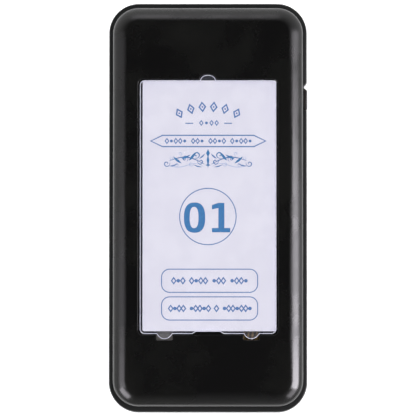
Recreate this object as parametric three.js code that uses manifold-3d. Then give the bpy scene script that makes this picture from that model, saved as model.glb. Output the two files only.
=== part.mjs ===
// A restaurant guest pager: a slim black handset that lies on its back. A clear cover on its face holds a
// printed number card. Inside are a circuit board with lamps round its edge, a flat lithium cell, a vibration
// motor, a buzzer and a coil aerial.
//
// Millimetres. The flat back lies on z = 0 and the card faces +z. The top end points to +y, and the press key
// is on the +x side. The origin is the middle of the back.

import * as THREE from "three";
import { mergeVertices } from "three/addons/utils/BufferGeometryUtils.js";
import Module from "manifold-3d";

const wasm = await Module();
wasm.setup();

// ---------------------------------------------------------------- driving sizes

// Outer shells
const bodyLength = 110;
const bodyWidth = 53.2;
const bodyCorner = 8;
const shellWall = 1.6;
const sideLedge = 1.1; // how far the rear cover stands proud of the front housing at the sides
const endLedge = 1.45; // and at the two ends
const frontRoll = 3.85; // width of the front housing's rolled edge, seen from the front
const frontRise = 3.6; // height of that rolled edge
const rearRoll = 3; // radius along the edge of the back
const tongueThickness = 1;
const tongueDepth = 1.1;

// Clearances
const shellSeam = 0.2; // open line between the two shells
const fitGap = 0.3; // between moulded parts that slot into each other
const seatGap = 0.05; // film of air under a piece that rests on another
const pressGap = 0.2; // round the motor's shaft, where the real pieces are pressed together
const looseGap = 0.5; // round pieces that only have to miss each other

// Card window in the front housing
const windowWidth = 37.5;
const windowLength = 68.7;
const windowCorner = 1.3;
const windowY = -0.2; // the window's middle, above the body's middle
const trayWall = 1.2; // plastic round and under the window

// Clear card cover and printed card
const coverThickness = 1;
const coverSideGap = 0.5;
const coverEndGap = 0.3;
const coverDrop = 0.05; // the cover's face lies this far below the housing's
const topTabWidth = 4.1;
const topTabReach = 1.45;
const latchX = 11.65; // the two bottom tabs, from the middle
const latchBaseWidth = 4.2;
const latchTipWidth = 2;
const latchReach = 1.4;
const latchSlotWidth = 4.4;
const latchSlotInside = 1; // how far the slot runs in under the cover
const nailBaseWidth = 8.4; // finger-nail notch in the cover's bottom edge
const nailTipWidth = 6.5;
const nailDepth = 0.6;
const cardThickness = 0.3;
const cardSideGap = 0.8; // the card is this much smaller than the window, on each side and each end
const cardEndGap = 0.65;
const cardX = 0.4; // a loose card never lies quite in the middle
const cardY = 0.4;

// Screws and posts
const screwInsetX = 5.5; // screw axes, from the inside of the rear cover's wall
const screwInsetY = 4.9;
const postRadius = 2.7;
const bossRadius = 2.5;
const screwRadius = 0.85;
const screwHole = 1.15;
const screwHeadRadius = 1.8;
const screwHeadHeight = 1.3;
const screwLength = 7.6;
const headSeat = 3; // depth of the counterbore in the back
const boardPostRadius = 2.2;
const boardScrewRadius = 0.65;
const boardScrewLength = 4;

// Board, cell and the parts on them
const cellWidth = 34;
const cellLength = 50;
const cellThickness = 4;
const padThickness = 0.3;
const boardLift = 0.9; // from the cell to the underside of the board
const boardThickness = 1.2;
const tallestChip = 1.9;
const lampWidth = 2.8;
const lampLength = 3.5;
const endLampX = 7;
const sideLampInset = 8.5; // the outer side lamps, from the ends of the window

// Press key and its switch
const keyY = 29.45;
const keyLength = 6.2;
const keyHeight = 2.8;
const keyGap = 0.25;
const keyScoop = 0.8; // depth of the finger scoop round the key
const keyScoopBottom = 1; // the scoop runs from here up through the ledge
const keyProud = 0.15; // how far the key stands out of the side
const keyLowBevel = 0.3; // the bevel on the key's lower end
const keyLip = 0.4; // how far the key's flange is larger than its opening
const keyFlange = 0.8;
const keyTravel = 0.4;
const switchLength = 6;
const switchHeight = 2.6;
const switchDepth = 3.4;
const plungerLength = 1.6;
const plungerHeight = 1;

// Vibration motor
const motorRadius = 3;
const motorLength = 10;
const motorX = -11.5;
const endcapLength = 1.2;
const leadRoom = 2.5; // room in the board's window for the motor's leads
const cradleRise = 0.8; // plastic under the motor
const shaftRadius = 0.4;
const weightRadius = 2.8;
const weightLength = 3.6;
const collarWall = 0.7; // metal round the shaft on the weight's light side

// Aerial, buzzer and charging contacts
const aerialRadius = 1.9;
const aerialWire = 0.35;
const aerialLength = 11;
const aerialTurns = 9;
const aerialX = 12.5;
const buzzerSide = 8.5;
const buzzerHeight = 3;
const portRadius = 1.3; // the buzzer's sound port
const portDepth = 0.8;
const soundSlots = 5; // slots in the back, under the buzzer
const soundPitch = 2;
const soundSlotWidth = 0.9;
const soundSlotLong = 7.4;
const soundSlotShort = 5; // the first and the last slot are shorter
const contactX = 8;
const contactWidth = 5;
const contactHeight = 2.8;
const contactZ = 4.4;
const contactSheet = 0.5;
const leadRadius = 0.55;
const motorLeadRadius = 0.35;

// ---------------------------------------------------------------- sizes that follow from them

// Heights, from the back to the face
const cellBottom = shellWall + padThickness + 2 * seatGap;
const cellTop = cellBottom + cellThickness;
const boardBottom = cellTop + boardLift;
const boardTop = boardBottom + boardThickness;
const chipSeat = boardTop + seatGap;
const trayBottom = chipSeat + tallestChip + looseGap;
const windowFloor = trayBottom + trayWall;
const cardBottom = windowFloor + seatGap;
const coverBottom = cardBottom + cardThickness + seatGap;
const coverTop = coverBottom + coverThickness;
const bodyThickness = coverTop + coverDrop;
const seamHeight = boardTop - 2 * seatGap; // the ledge, just under the top of the board
const frontBottom = seamHeight + shellSeam;
const tongueBottom = seamHeight - tongueDepth;
const frontRoof = bodyThickness - shellWall;
const bossBottom = tongueBottom - looseGap;
const postTop = bossBottom - fitGap;
const rooting = shellWall / 2; // how far posts and ribs reach into the wall that they stand on

// Half sizes, from the middle outwards
const innerX = bodyWidth / 2 - shellWall;
const innerY = bodyLength / 2 - shellWall;
const frontX = bodyWidth / 2 - sideLedge;
const frontY = bodyLength / 2 - endLedge;
const tongueX = innerX - fitGap - tongueThickness;
const tongueY = innerY - fitGap - tongueThickness;
const boardX = tongueX - looseGap;
const boardY = tongueY - looseGap;
const screwX = innerX - screwInsetX;
const screwY = innerY - screwInsetY;
const neckX = screwX - postRadius - looseGap; // the board narrows between the screw posts
const neckY = screwY - postRadius - looseGap;
const boardScrewX = boardX - boardPostRadius - fitGap;
const boardScrewY = neckY - boardPostRadius - fitGap;

// Card window
const windowHalfY = windowLength / 2;
const coverWidth = windowWidth - 2 * coverSideGap;
const coverLength = windowLength - 2 * coverEndGap;
const cardWidth = windowWidth - 2 * cardSideGap;
const cardLength = windowLength - 2 * cardEndGap;
const coverLowY = windowY - coverLength / 2;
const coverHighY = windowY + coverLength / 2;
const latchSlotLowY = coverLowY - latchReach - fitGap;
const latchSlotHighY = coverLowY + latchSlotInside;
const latchSlotY = (latchSlotLowY + latchSlotHighY) / 2;

// Motor and aerial lie under the two latch slots, and the cell above them
const motorY = latchSlotY;
const motorZ = shellWall + cradleRise + motorRadius;
const weightX = motorX + motorLength / 2 + looseGap + weightLength / 2;
const motorLowX = motorX - motorLength / 2;
const motorHighX = motorX + motorLength / 2;
const motorWindowX = motorLowX - leadRoom; // left edge of the board's window
const aerialY = latchSlotY;
const aerialZ = boardTop - boardThickness / 2;
const cellLowY = motorY + motorRadius + 2 * looseGap + trayWall;
const cellHighY = cellLowY + cellLength;
const cellX = -1;

// Key and switch on the +x side
const keyOpening = keyLength + 2 * keyGap;
const keyZ = tongueBottom - fitGap - keyLip - keyGap - keyHeight / 2;
const scoopX = bodyWidth / 2 - keyScoop;
const flangeX = innerX - fitGap - keyFlange; // inner face of the key's flange
const plungerX = flangeX - fitGap; // tip of the switch's plunger
const switchX = plungerX - keyTravel - fitGap; // outer face of the switch
const switchZ = boardBottom - seatGap - switchHeight / 2;

// Top end: buzzer and battery connector
const buzzerX = 8;
const buzzerY = neckY - buzzerSide / 2 - looseGap;
const plugX = -12;
const socketY = neckY - 5;

// ---------------------------------------------------------------- tools for making solids

const roundSteps = 16;

// A closed three.js geometry as a solid that can be cut and joined.
function solidOf(geometry) {
  const bare = geometry.clone();
  bare.deleteAttribute("normal");
  bare.deleteAttribute("uv");
  const welded = mergeVertices(bare, 1e-4);
  const skin = new wasm.Mesh({
    numProp: 3,
    vertProperties: welded.attributes.position.array,
    triVerts: new Uint32Array(welded.index.array),
  });
  return new wasm.Manifold(skin);
}

function cut(solid, ...tools) {
  return tools.reduce((left, tool) => left.subtract(tool), solid);
}

function join(solid, ...others) {
  return others.reduce((sum, other) => sum.add(other), solid);
}

// A box between two corners.
function box(lowX, highX, lowY, highY, lowZ, highZ) {
  const block = new THREE.BoxGeometry(highX - lowX, highY - lowY, highZ - lowZ);
  block.translate((lowX + highX) / 2, (lowY + highY) / 2, (lowZ + highZ) / 2);
  return solidOf(block);
}

// A box given by its middle in plan, its two sides and its heights.
function blockAt(x, y, width, length, lowZ, highZ) {
  return box(x - width / 2, x + width / 2, y - length / 2, y + length / 2, lowZ, highZ);
}

// An upright round pin between two heights.
function pin(x, y, radius, lowZ, highZ, steps = roundSteps) {
  const rod = new THREE.CylinderGeometry(radius, radius, highZ - lowZ, steps);
  rod.rotateX(Math.PI / 2);
  rod.translate(x, y, (lowZ + highZ) / 2);
  return solidOf(rod);
}

// A round rod along x.
function rodAlongX(lowX, highX, y, z, radius, steps = roundSteps) {
  const rod = new THREE.CylinderGeometry(radius, radius, highX - lowX, steps);
  rod.rotateZ(-Math.PI / 2);
  rod.translate((lowX + highX) / 2, y, z);
  return solidOf(rod);
}

// A rectangle with round corners, in the middle of the plane.
function roundedRectangle(width, length, corner) {
  const x = width / 2;
  const y = length / 2;
  const outline = new THREE.Shape();
  outline.absarc(x - corner, y - corner, corner, 0, Math.PI / 2);
  outline.absarc(corner - x, y - corner, corner, Math.PI / 2, Math.PI);
  outline.absarc(corner - x, corner - y, corner, Math.PI, 1.5 * Math.PI);
  outline.absarc(x - corner, corner - y, corner, 1.5 * Math.PI, 2 * Math.PI);
  outline.closePath();
  return outline;
}

// An outline in plan, raised between two heights.
function prism(outline, lowZ, highZ, curveSegments = 3) {
  const raised = new THREE.ExtrudeGeometry(outline, {
    depth: highZ - lowZ,
    bevelEnabled: false,
    curveSegments,
  });
  raised.translate(0, 0, lowZ);
  return solidOf(raised);
}

// An outline through the given corner points.
function polygon(points) {
  return new THREE.Shape(points.map(([x, y]) => new THREE.Vector2(x, y)));
}

// A rounded block whose top edge is rolled over in a quarter ellipse, roll wide and rise high.
function rolledBlock(width, length, corner, roll, rise, lowZ, highZ) {
  const face = roundedRectangle(width - 2 * roll, length - 2 * roll, corner - roll);
  const block = new THREE.ExtrudeGeometry(face, {
    depth: highZ - lowZ - rise,
    bevelEnabled: true,
    bevelSize: roll,
    bevelThickness: rise,
    bevelSegments: 5,
    curveSegments: 3,
  });
  block.translate(0, 0, lowZ);
  const reach = Math.max(width, length);
  return solidOf(block).intersect(box(-reach, reach, -reach, reach, lowZ, highZ + rise));
}

// A block like that, upside down, so that the rolled edge is at the bottom.
function rolledTray(width, length, corner, roll, rise, lowZ, highZ) {
  return rolledBlock(width, length, corner, roll, rise, -highZ, -lowZ).rotate([180, 0, 0]);
}

// A round wire along a smooth curve through the given points.
function wire(points, radius, steps, sides = 8) {
  const route = new THREE.CatmullRomCurve3(points.map(([x, y, z]) => new THREE.Vector3(x, y, z)));
  const section = new THREE.Shape();
  for (let side = 0; side < sides; side += 1) {
    const turn = (2 * Math.PI * side) / sides;
    const x = radius * Math.cos(turn);
    const y = radius * Math.sin(turn);
    if (side === 0) section.moveTo(x, y);
    else section.lineTo(x, y);
  }
  section.closePath();
  return solidOf(new THREE.ExtrudeGeometry(section, { steps, extrudePath: route, bevelEnabled: false }));
}

const pager = new THREE.Group();

// Adds one piece to the pager, with a material of its own.
function addPiece(name, solid, color, roughness, metalness = 0, opacity = 1) {
  const skin = solid.getMesh();
  const geometry = new THREE.BufferGeometry();
  geometry.setAttribute("position", new THREE.BufferAttribute(skin.vertProperties, 3));
  geometry.setIndex(new THREE.BufferAttribute(skin.triVerts, 1));
  geometry.computeVertexNormals();
  const transparent = opacity < 1;
  const material = new THREE.MeshStandardMaterial({ color, roughness, metalness, opacity, transparent });
  const mesh = new THREE.Mesh(geometry, material);
  mesh.name = name;
  pager.add(mesh);
}

// ---------------------------------------------------------------- places that repeat

const corners = [
  ["upper_right", 1, 1],
  ["upper_left", -1, 1],
  ["lower_left", -1, -1],
  ["lower_right", 1, -1],
];
const boardScrewCorners = [
  ["upper", -1, 1],
  ["lower", 1, -1],
];

// ---------------------------------------------------------------- shells

// The scoop round the press key: it flares out at 45 degrees above the key and ends square below it.
function keyScoopOutline() {
  const half = keyOpening / 2;
  const outside = bodyWidth / 2 + 1;
  const flare = outside - scoopX;
  return polygon([
    [scoopX, keyY - half],
    [outside, keyY - half],
    [outside, keyY + half + flare],
    [scoopX, keyY + half],
  ]);
}

// The black tray at the back, with the screw posts, the board posts and the motor's cradle.
function rearCover() {
  const outside = rolledTray(bodyWidth, bodyLength, bodyCorner, rearRoll, rearRoll, 0, seamHeight);
  const innerRoll = rearRoll - shellWall;
  const inside = rolledTray(
    2 * innerX,
    2 * innerY,
    bodyCorner - shellWall,
    innerRoll,
    innerRoll,
    shellWall,
    seamHeight + 1,
  );
  let cover = cut(outside, inside);
  for (const [, sideX, sideY] of corners) {
    const casePost = pin(sideX * screwX, sideY * screwY, postRadius, rooting, postTop);
    const boardPostTop = boardBottom - seatGap;
    const boardPost = pin(sideX * boardScrewX, sideY * boardScrewY, boardPostRadius, rooting, boardPostTop);
    cover = join(cover, casePost, boardPost);
  }
  for (const end of [-1, 1]) {
    const ribX = motorX + (end * motorLength) / 4;
    const ribWidth = 2 * (motorRadius + trayWall);
    cover = join(cover, blockAt(ribX, motorY, trayWall, ribWidth, rooting, motorZ));
  }
  const motorRoom = motorRadius + fitGap / 2;
  cover = cut(cover, rodAlongX(motorX - motorLength, motorX + motorLength, motorY, motorZ, motorRoom, 24));
  for (const [, sideX, sideY] of corners) {
    const x = sideX * screwX;
    const y = sideY * screwY;
    const counterbore = pin(x, y, screwHeadRadius + fitGap, -1, headSeat);
    cover = cut(cover, counterbore, pin(x, y, screwHole, 0, postTop + 1));
  }
  for (const [, sideX, sideY] of boardScrewCorners) {
    const hole = boardScrewRadius + fitGap;
    const depth = boardBottom - boardScrewLength;
    cover = cut(cover, pin(sideX * boardScrewX, sideY * boardScrewY, hole, depth, boardBottom + 1, 12));
  }
  cover = cut(cover, prism(keyScoopOutline(), keyScoopBottom, seamHeight + 1));
  const openingHalf = keyHeight / 2 + keyGap;
  const opening = blockAt(innerX, keyY, 4 * shellWall, keyOpening, keyZ - openingHalf, keyZ + openingHalf);
  cover = cut(cover, opening);
  for (const side of [-1, 1]) {
    const low = contactZ - contactHeight / 2 - keyGap;
    const high = contactZ + contactHeight / 2 + keyGap;
    const width = contactWidth + 2 * keyGap;
    cover = cut(cover, blockAt(side * contactX, -bodyLength / 2, width, 4 * shellWall, low, high));
  }
  for (let index = 0; index < soundSlots; index += 1) {
    const y = buzzerY + (index - (soundSlots - 1) / 2) * soundPitch;
    const outer = index === 0 || index === soundSlots - 1;
    const reach = outer ? soundSlotShort : soundSlotLong;
    const slot = roundedRectangle(reach, soundSlotWidth, soundSlotWidth * 0.49);
    cover = cut(cover, prism(slot, -1, shellWall + 1, 2).translate([buzzerX, y, 0]));
  }
  return cover;
}

// Carries the cover's outline on round one latch tab, from left to right below the edge at height low.
function drawLatchTab(outline, middle, low) {
  const pull = (latchReach * 4) / 3; // the curve goes three quarters of the way to its control points
  outline.lineTo(middle - latchBaseWidth / 2, low);
  outline.bezierCurveTo(
    middle - latchTipWidth / 2,
    low - pull,
    middle + latchTipWidth / 2,
    low - pull,
    middle + latchBaseWidth / 2,
    low,
  );
}

// The clear cover's outline: round corners, a half-round tab, two latch tabs and a finger-nail notch.
function coverOutline() {
  const x = coverWidth / 2;
  const low = coverLowY;
  const high = coverHighY;
  const corner = windowCorner;
  const outline = new THREE.Shape();
  outline.moveTo(nailBaseWidth / 2, low);
  drawLatchTab(outline, latchX, low);
  outline.lineTo(x - corner, low);
  outline.absarc(x - corner, low + corner, corner, 1.5 * Math.PI, 2 * Math.PI);
  outline.absarc(x - corner, high - corner, corner, 0, Math.PI / 2);
  outline.lineTo(topTabWidth / 2, high);
  outline.absellipse(0, high, topTabWidth / 2, topTabReach, 0, Math.PI);
  outline.lineTo(corner - x, high);
  outline.absarc(corner - x, high - corner, corner, Math.PI / 2, Math.PI);
  outline.absarc(corner - x, low + corner, corner, Math.PI, 1.5 * Math.PI);
  drawLatchTab(outline, -latchX, low);
  outline.lineTo(-nailBaseWidth / 2, low);
  outline.lineTo(-nailTipWidth / 2, low + nailDepth);
  outline.lineTo(nailTipWidth / 2, low + nailDepth);
  outline.closePath();
  return outline;
}

// The black front shell: a rolled lid with a tray for the card, a tongue and four screw bosses.
function frontHousing() {
  const width = 2 * frontX;
  const length = 2 * frontY;
  const corner = bodyCorner - sideLedge;
  const outside = rolledBlock(width, length, corner, frontRoll, frontRise, frontBottom, bodyThickness);
  const inside = rolledBlock(
    width - 2 * shellWall,
    length - 2 * shellWall,
    corner - shellWall,
    frontRoll - shellWall,
    frontRise - shellWall,
    frontBottom - 1,
    frontRoof,
  );
  const tongueCorner = bodyCorner - shellWall - fitGap;
  const tongueOuter = roundedRectangle(2 * (innerX - fitGap), 2 * (innerY - fitGap), tongueCorner);
  const tongueInner = roundedRectangle(2 * tongueX, 2 * tongueY, tongueCorner - tongueThickness);
  const tongue = cut(
    prism(tongueOuter, tongueBottom, frontBottom + tongueThickness),
    prism(tongueInner, tongueBottom - 1, frontBottom + tongueThickness + 1),
  );
  const trayOutline = roundedRectangle(
    windowWidth + 2 * trayWall,
    windowLength + 2 * trayWall,
    windowCorner + trayWall,
  );
  const tray = prism(trayOutline, trayBottom, frontRoof + rooting).translate([0, windowY, 0]);
  let housing = join(cut(outside, inside), tongue, tray);
  for (const [, sideX, sideY] of corners) {
    const x = sideX * screwX;
    const y = sideY * screwY;
    housing = join(housing, pin(x, y, bossRadius, bossBottom, frontRoof + rooting));
    housing = cut(housing, pin(x, y, screwHole, bossBottom - 1, headSeat + screwLength + looseGap));
  }
  const windowOutline = roundedRectangle(windowWidth, windowLength, windowCorner);
  housing = cut(housing, prism(windowOutline, windowFloor, bodyThickness + 1).translate([0, windowY, 0]));
  const notch = new THREE.Shape();
  notch.absellipse(0, 0, topTabWidth / 2 + fitGap, topTabReach + fitGap, 0, 2 * Math.PI);
  const topNotch = prism(notch, windowFloor, bodyThickness + 1, 8).translate([0, coverHighY, 0]);
  housing = cut(housing, topNotch);
  const slotLength = latchSlotHighY - latchSlotLowY;
  for (const side of [-1, 1]) {
    const x = side * latchX;
    housing = cut(
      housing,
      blockAt(x, latchSlotY, latchSlotWidth, slotLength, trayBottom - 1, bodyThickness + 1),
    );
  }
  return housing;
}

function cardCover() {
  return prism(coverOutline(), coverBottom, coverTop, 4);
}

function printedCard() {
  const sheet = roundedRectangle(cardWidth, cardLength, 0.5);
  return prism(sheet, cardBottom, cardBottom + cardThickness, 1).translate([cardX, windowY + cardY, 0]);
}

// ---------------------------------------------------------------- fasteners

// A pan-head screw with a cross recess, head down, its head's flat underside at height seat.
function screw(x, y, seat, shank, headRadius, headHeight, length, headUp) {
  const profile = [
    new THREE.Vector2(0, -headHeight),
    new THREE.Vector2(headRadius * 0.7, -headHeight),
    new THREE.Vector2(headRadius, -headHeight * 0.55),
    new THREE.Vector2(headRadius, 0),
    new THREE.Vector2(shank, 0),
    new THREE.Vector2(shank, length - shank),
    new THREE.Vector2(shank * 0.2, length),
    new THREE.Vector2(0, length),
  ];
  const turned = new THREE.LatheGeometry(profile, 12);
  turned.rotateX(Math.PI / 2);
  const slotLength = headRadius * 1.1;
  const slotWidth = headRadius * 0.28;
  const slotDepth = headHeight * 0.6;
  const recess = join(
    blockAt(0, 0, slotLength, slotWidth, -headHeight - 1, slotDepth - headHeight),
    blockAt(0, 0, slotWidth, slotLength, -headHeight - 1, slotDepth - headHeight),
  );
  const upright = cut(solidOf(turned), recess);
  return upright.rotate([headUp ? 180 : 0, 0, 0]).translate([x, y, seat]);
}

// ---------------------------------------------------------------- press key and switch

// The key: a bar on a flange that keeps it in the wall, with a wide bevel above and a small one below.
function powerKey() {
  const half = keyLength / 2;
  const outside = bodyWidth / 2 + keyProud;
  const bevel = outside - scoopX;
  const bar = polygon([
    [flangeX + keyFlange / 2, keyY - half],
    [outside - keyLowBevel, keyY - half],
    [outside, keyY - half + keyLowBevel],
    [outside, keyY + half - bevel],
    [scoopX, keyY + half],
    [flangeX + keyFlange / 2, keyY + half],
  ]);
  const flangeLength = keyOpening + 2 * keyLip;
  const flangeHalf = keyHeight / 2 + keyGap + keyLip;
  const flangeMid = flangeX + keyFlange / 2;
  return join(
    prism(bar, keyZ - keyHeight / 2, keyZ + keyHeight / 2),
    blockAt(flangeMid, keyY, keyFlange, flangeLength, keyZ - flangeHalf, keyZ + flangeHalf),
  );
}

const pocketDepth = keyTravel + 3 * fitGap;

// The side-push switch under the board, with a pocket that its plunger slides in.
function switchBody() {
  const low = switchZ - switchHeight / 2;
  const high = switchZ + switchHeight / 2;
  const body = blockAt(switchX - switchDepth / 2, keyY, switchDepth, switchLength, low, high);
  const pocket = box(
    switchX - pocketDepth - fitGap,
    switchX + 1,
    keyY - plungerLength / 2 - fitGap,
    keyY + plungerLength / 2 + fitGap,
    switchZ - plungerHeight / 2 - fitGap,
    switchZ + plungerHeight / 2 + fitGap,
  );
  return cut(body, pocket);
}

function switchPlunger() {
  const inside = switchX - pocketDepth + keyTravel;
  const width = plungerX - inside;
  const low = switchZ - plungerHeight / 2;
  return blockAt(inside + width / 2, keyY, width, plungerLength, low, low + plungerHeight);
}

// ---------------------------------------------------------------- board and the parts on it

// The circuit board: full width between the screw posts, with windows for the motor and the aerial.
function mainBoard() {
  const outline = polygon([
    [boardX, -neckY],
    [boardX, neckY],
    [neckX, neckY],
    [neckX, boardY],
    [-neckX, boardY],
    [-neckX, neckY],
    [-boardX, neckY],
    [-boardX, -neckY],
    [-neckX, -neckY],
    [-neckX, -boardY],
    [neckX, -boardY],
    [neckX, -neckY],
  ]);
  const motorRoom = 2 * (motorRadius + looseGap);
  const weightHighX = weightX + weightLength / 2 + 2 * looseGap;
  const aerialRoom = 2 * (aerialRadius + aerialWire + looseGap);
  let board = cut(
    prism(outline, boardBottom, boardTop),
    box(motorWindowX, weightHighX, motorY - motorRoom / 2, motorY + motorRoom / 2, 0, bodyThickness),
    blockAt(aerialX, aerialY, aerialLength + 4 * looseGap, aerialRoom, 0, bodyThickness),
  );
  for (const [, sideX, sideY] of boardScrewCorners) {
    const hole = boardScrewRadius + fitGap;
    board = cut(board, pin(sideX * boardScrewX, sideY * boardScrewY, hole, 0, bodyThickness, 12));
  }
  return board;
}

// A chip package with a row of flat legs along its two long sides.
function chip(x, y, width, length, height, legs) {
  const legWidth = 0.45;
  const legReach = 0.9;
  const legTop = chipSeat + height * 0.45;
  let body = blockAt(x, y, width, length, chipSeat + 0.1, chipSeat + height);
  for (let index = 0; index < legs; index += 1) {
    const legY = y + (index - (legs - 1) / 2) * (length / legs);
    body = join(body, blockAt(x, legY, width + 2 * legReach, legWidth, chipSeat + 0.15, legTop));
    const sole = blockAt(x, legY, width + 2 * legReach + 0.6, legWidth, chipSeat, chipSeat + 0.25);
    body = join(body, cut(sole, blockAt(x, legY, width, 2 * legWidth, chipSeat - 1, chipSeat + 0.12)));
  }
  return body;
}

// A surface lamp: a white frame with a round cup for the lens.
function lamp(x, y) {
  const frame = blockAt(x, y, lampWidth, lampLength, chipSeat, chipSeat + tallestChip);
  const cup = new THREE.CylinderGeometry(lampWidth * 0.43, lampWidth * 0.3, 0.8, 12);
  cup.rotateX(Math.PI / 2);
  cup.translate(x, y, chipSeat + tallestChip);
  return cut(frame, solidOf(cup));
}

// The buzzer: a square can under the board with a round sound port that faces the back.
function buzzer() {
  const top = boardBottom - seatGap;
  const low = top - buzzerHeight;
  const can = blockAt(buzzerX, buzzerY, buzzerSide, buzzerSide, low, top);
  return cut(can, pin(buzzerX, buzzerY, portRadius, low - 1, low + portDepth, 12));
}

// The aerial: a close coil of plated wire that lies along x, with one end brought out over the board.
function aerialCoil() {
  const points = [];
  const stepsPerTurn = 8;
  const start = aerialX - aerialLength / 2 + aerialWire;
  const pitch = (aerialLength - 2 * aerialWire) / aerialTurns;
  for (let step = 0; step <= aerialTurns * stepsPerTurn; step += 1) {
    const turn = step / stepsPerTurn;
    const angle = 2 * Math.PI * turn;
    const y = aerialY + aerialRadius * Math.sin(angle);
    const z = aerialZ + aerialRadius * Math.cos(angle);
    points.push([start + pitch * turn, y, z]);
  }
  const padZ = chipSeat + aerialWire;
  const end = aerialX + aerialLength / 2;
  points.push([end + 0.4, aerialY + 0.9, aerialZ + aerialRadius - 0.1]);
  points.push([end + 1.4, aerialY + 1.1, padZ]);
  points.push([end + 2.6, aerialY + 1.1, padZ]);
  return wire(points, aerialWire, aerialTurns * stepsPerTurn + 6, 6);
}

// ---------------------------------------------------------------- cell and its leads

// The foil pouch: a flat pack with soft edges.
function batteryCell() {
  const soft = 0.8;
  const middle = (cellBottom + cellTop) / 2;
  const upper = rolledBlock(cellWidth, cellLength, 2 * soft, soft, soft, middle, cellTop);
  const lower = rolledTray(cellWidth, cellLength, 2 * soft, soft, soft, cellBottom, middle);
  return join(upper, lower).translate([cellX, (cellLowY + cellHighY) / 2, 0]);
}

const circuitLength = 3.4;
const circuitHeight = 2.4;
const leadPitch = 1.6;
const leadX = 5; // where the two leads leave the cell's protection circuit
const leadZ = cellBottom + cellThickness / 2;

function cellCircuit() {
  const low = cellHighY + fitGap;
  const outline = roundedRectangle(cellWidth - 4, circuitLength, 0.6);
  const body = prism(outline, leadZ - circuitHeight / 2, leadZ + circuitHeight / 2, 1);
  return body.translate([cellX, low + circuitLength / 2, 0]);
}

function cellPad() {
  const low = shellWall + seatGap;
  const middle = (cellLowY + cellHighY) / 2;
  return blockAt(cellX, middle, cellWidth - 6, cellLength - 8, low, low + padThickness);
}

const plugWidth = 5;
const plugLength = 5;
const plugHeight = 2;
const socketLength = 5.5;
const socketWall = 0.9;
const plugZ = boardBottom - seatGap - socketWall - fitGap - plugHeight / 2;
const plugLowY = socketY - socketLength / 2 - plugLength / 2;

// One battery lead, from the protection circuit across to the plug; side is -1 or 1.
function batteryLead(side) {
  const offset = (side * leadPitch) / 2;
  const start = cellHighY + fitGap + circuitLength + fitGap;
  const bend = start + 3.7 + offset;
  return wire(
    [
      [leadX + offset, start, leadZ],
      [leadX + offset, start + 1.4, leadZ],
      [leadX - 2.2, bend, leadZ],
      [(leadX + plugX) / 2, bend + 0.4, leadZ],
      [plugX + 3, bend + 0.8, leadZ],
      [plugX + offset, bend + 3.4 - offset, (leadZ + plugZ) / 2],
      [plugX + offset, plugLowY - fitGap, plugZ],
    ],
    leadRadius,
    26,
  );
}

function batteryPlug() {
  const low = plugZ - plugHeight / 2;
  return blockAt(plugX, plugLowY + plugLength / 2, plugWidth, plugLength, low, low + plugHeight);
}

function batterySocket() {
  const top = boardBottom - seatGap;
  const low = plugZ - plugHeight / 2 - fitGap - socketWall;
  const width = plugWidth + 2 * (fitGap + socketWall);
  const body = blockAt(plugX, socketY, width, socketLength, low, top);
  const mouth = box(
    plugX - plugWidth / 2 - fitGap,
    plugX + plugWidth / 2 + fitGap,
    socketY - socketLength / 2 - 1,
    plugLowY + plugLength + fitGap,
    plugZ - plugHeight / 2 - fitGap,
    plugZ + plugHeight / 2 + fitGap,
  );
  return cut(body, mouth);
}

// ---------------------------------------------------------------- vibration motor


// The steel can, open at the back for its end cap and bored at the front for the shaft.
function motorCan() {
  const can = rodAlongX(motorLowX + endcapLength + fitGap, motorHighX, motorY, motorZ, motorRadius, 24);
  return cut(can, rodAlongX(motorHighX - 3, motorHighX + 1, motorY, motorZ, shaftRadius + fitGap, 12));
}

function motorEndcap() {
  return rodAlongX(motorLowX, motorLowX + endcapLength, motorY, motorZ, motorRadius - fitGap, 24);
}

function motorShaft() {
  const start = motorHighX - 2.6;
  return rodAlongX(start, weightX + weightLength / 2 + fitGap, motorY, motorZ, shaftRadius, 12);
}

// The eccentric weight: a half-round bar with a collar round the shaft. Its heavy side hangs down at rest.
function motorWeight() {
  const collar = shaftRadius + pressGap + collarWall;
  const profile = new THREE.Shape();
  profile.absarc(0, 0, weightRadius, Math.PI, 2 * Math.PI);
  profile.lineTo(collar, 0);
  profile.absarc(0, 0, collar, 0, Math.PI);
  profile.closePath();
  const bar = new THREE.ExtrudeGeometry(profile, {
    depth: weightLength,
    bevelEnabled: false,
    curveSegments: 8,
  });
  bar.rotateX(Math.PI / 2);
  bar.rotateZ(Math.PI / 2);
  bar.translate(weightX - weightLength / 2, motorY, motorZ);
  const boreRadius = shaftRadius + pressGap;
  const bore = rodAlongX(weightX - weightLength, weightX + weightLength, motorY, motorZ, boreRadius, 12);
  return cut(solidOf(bar), bore);
}

// One motor lead, from the end cap up and over the edge of the board; side is -1 or 1.
function motorLead(side) {
  const y = motorY + side * 0.9;
  const padZ = boardTop + motorLeadRadius + seatGap;
  const edge = motorWindowX;
  return wire(
    [
      [motorLowX - fitGap, y, motorZ],
      [motorLowX - fitGap - 0.7, y, motorZ + 0.4],
      [motorLowX - 1.3, y, motorZ + 1.6],
      [edge + 0.8, y, padZ + 0.3],
      [edge - 0.3, y, padZ + 0.5],
      [edge - 1.4, y, padZ],
      [edge - 2.2, y, padZ],
    ],
    motorLeadRadius,
    16,
    6,
  );
}

// ---------------------------------------------------------------- charging contacts

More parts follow.
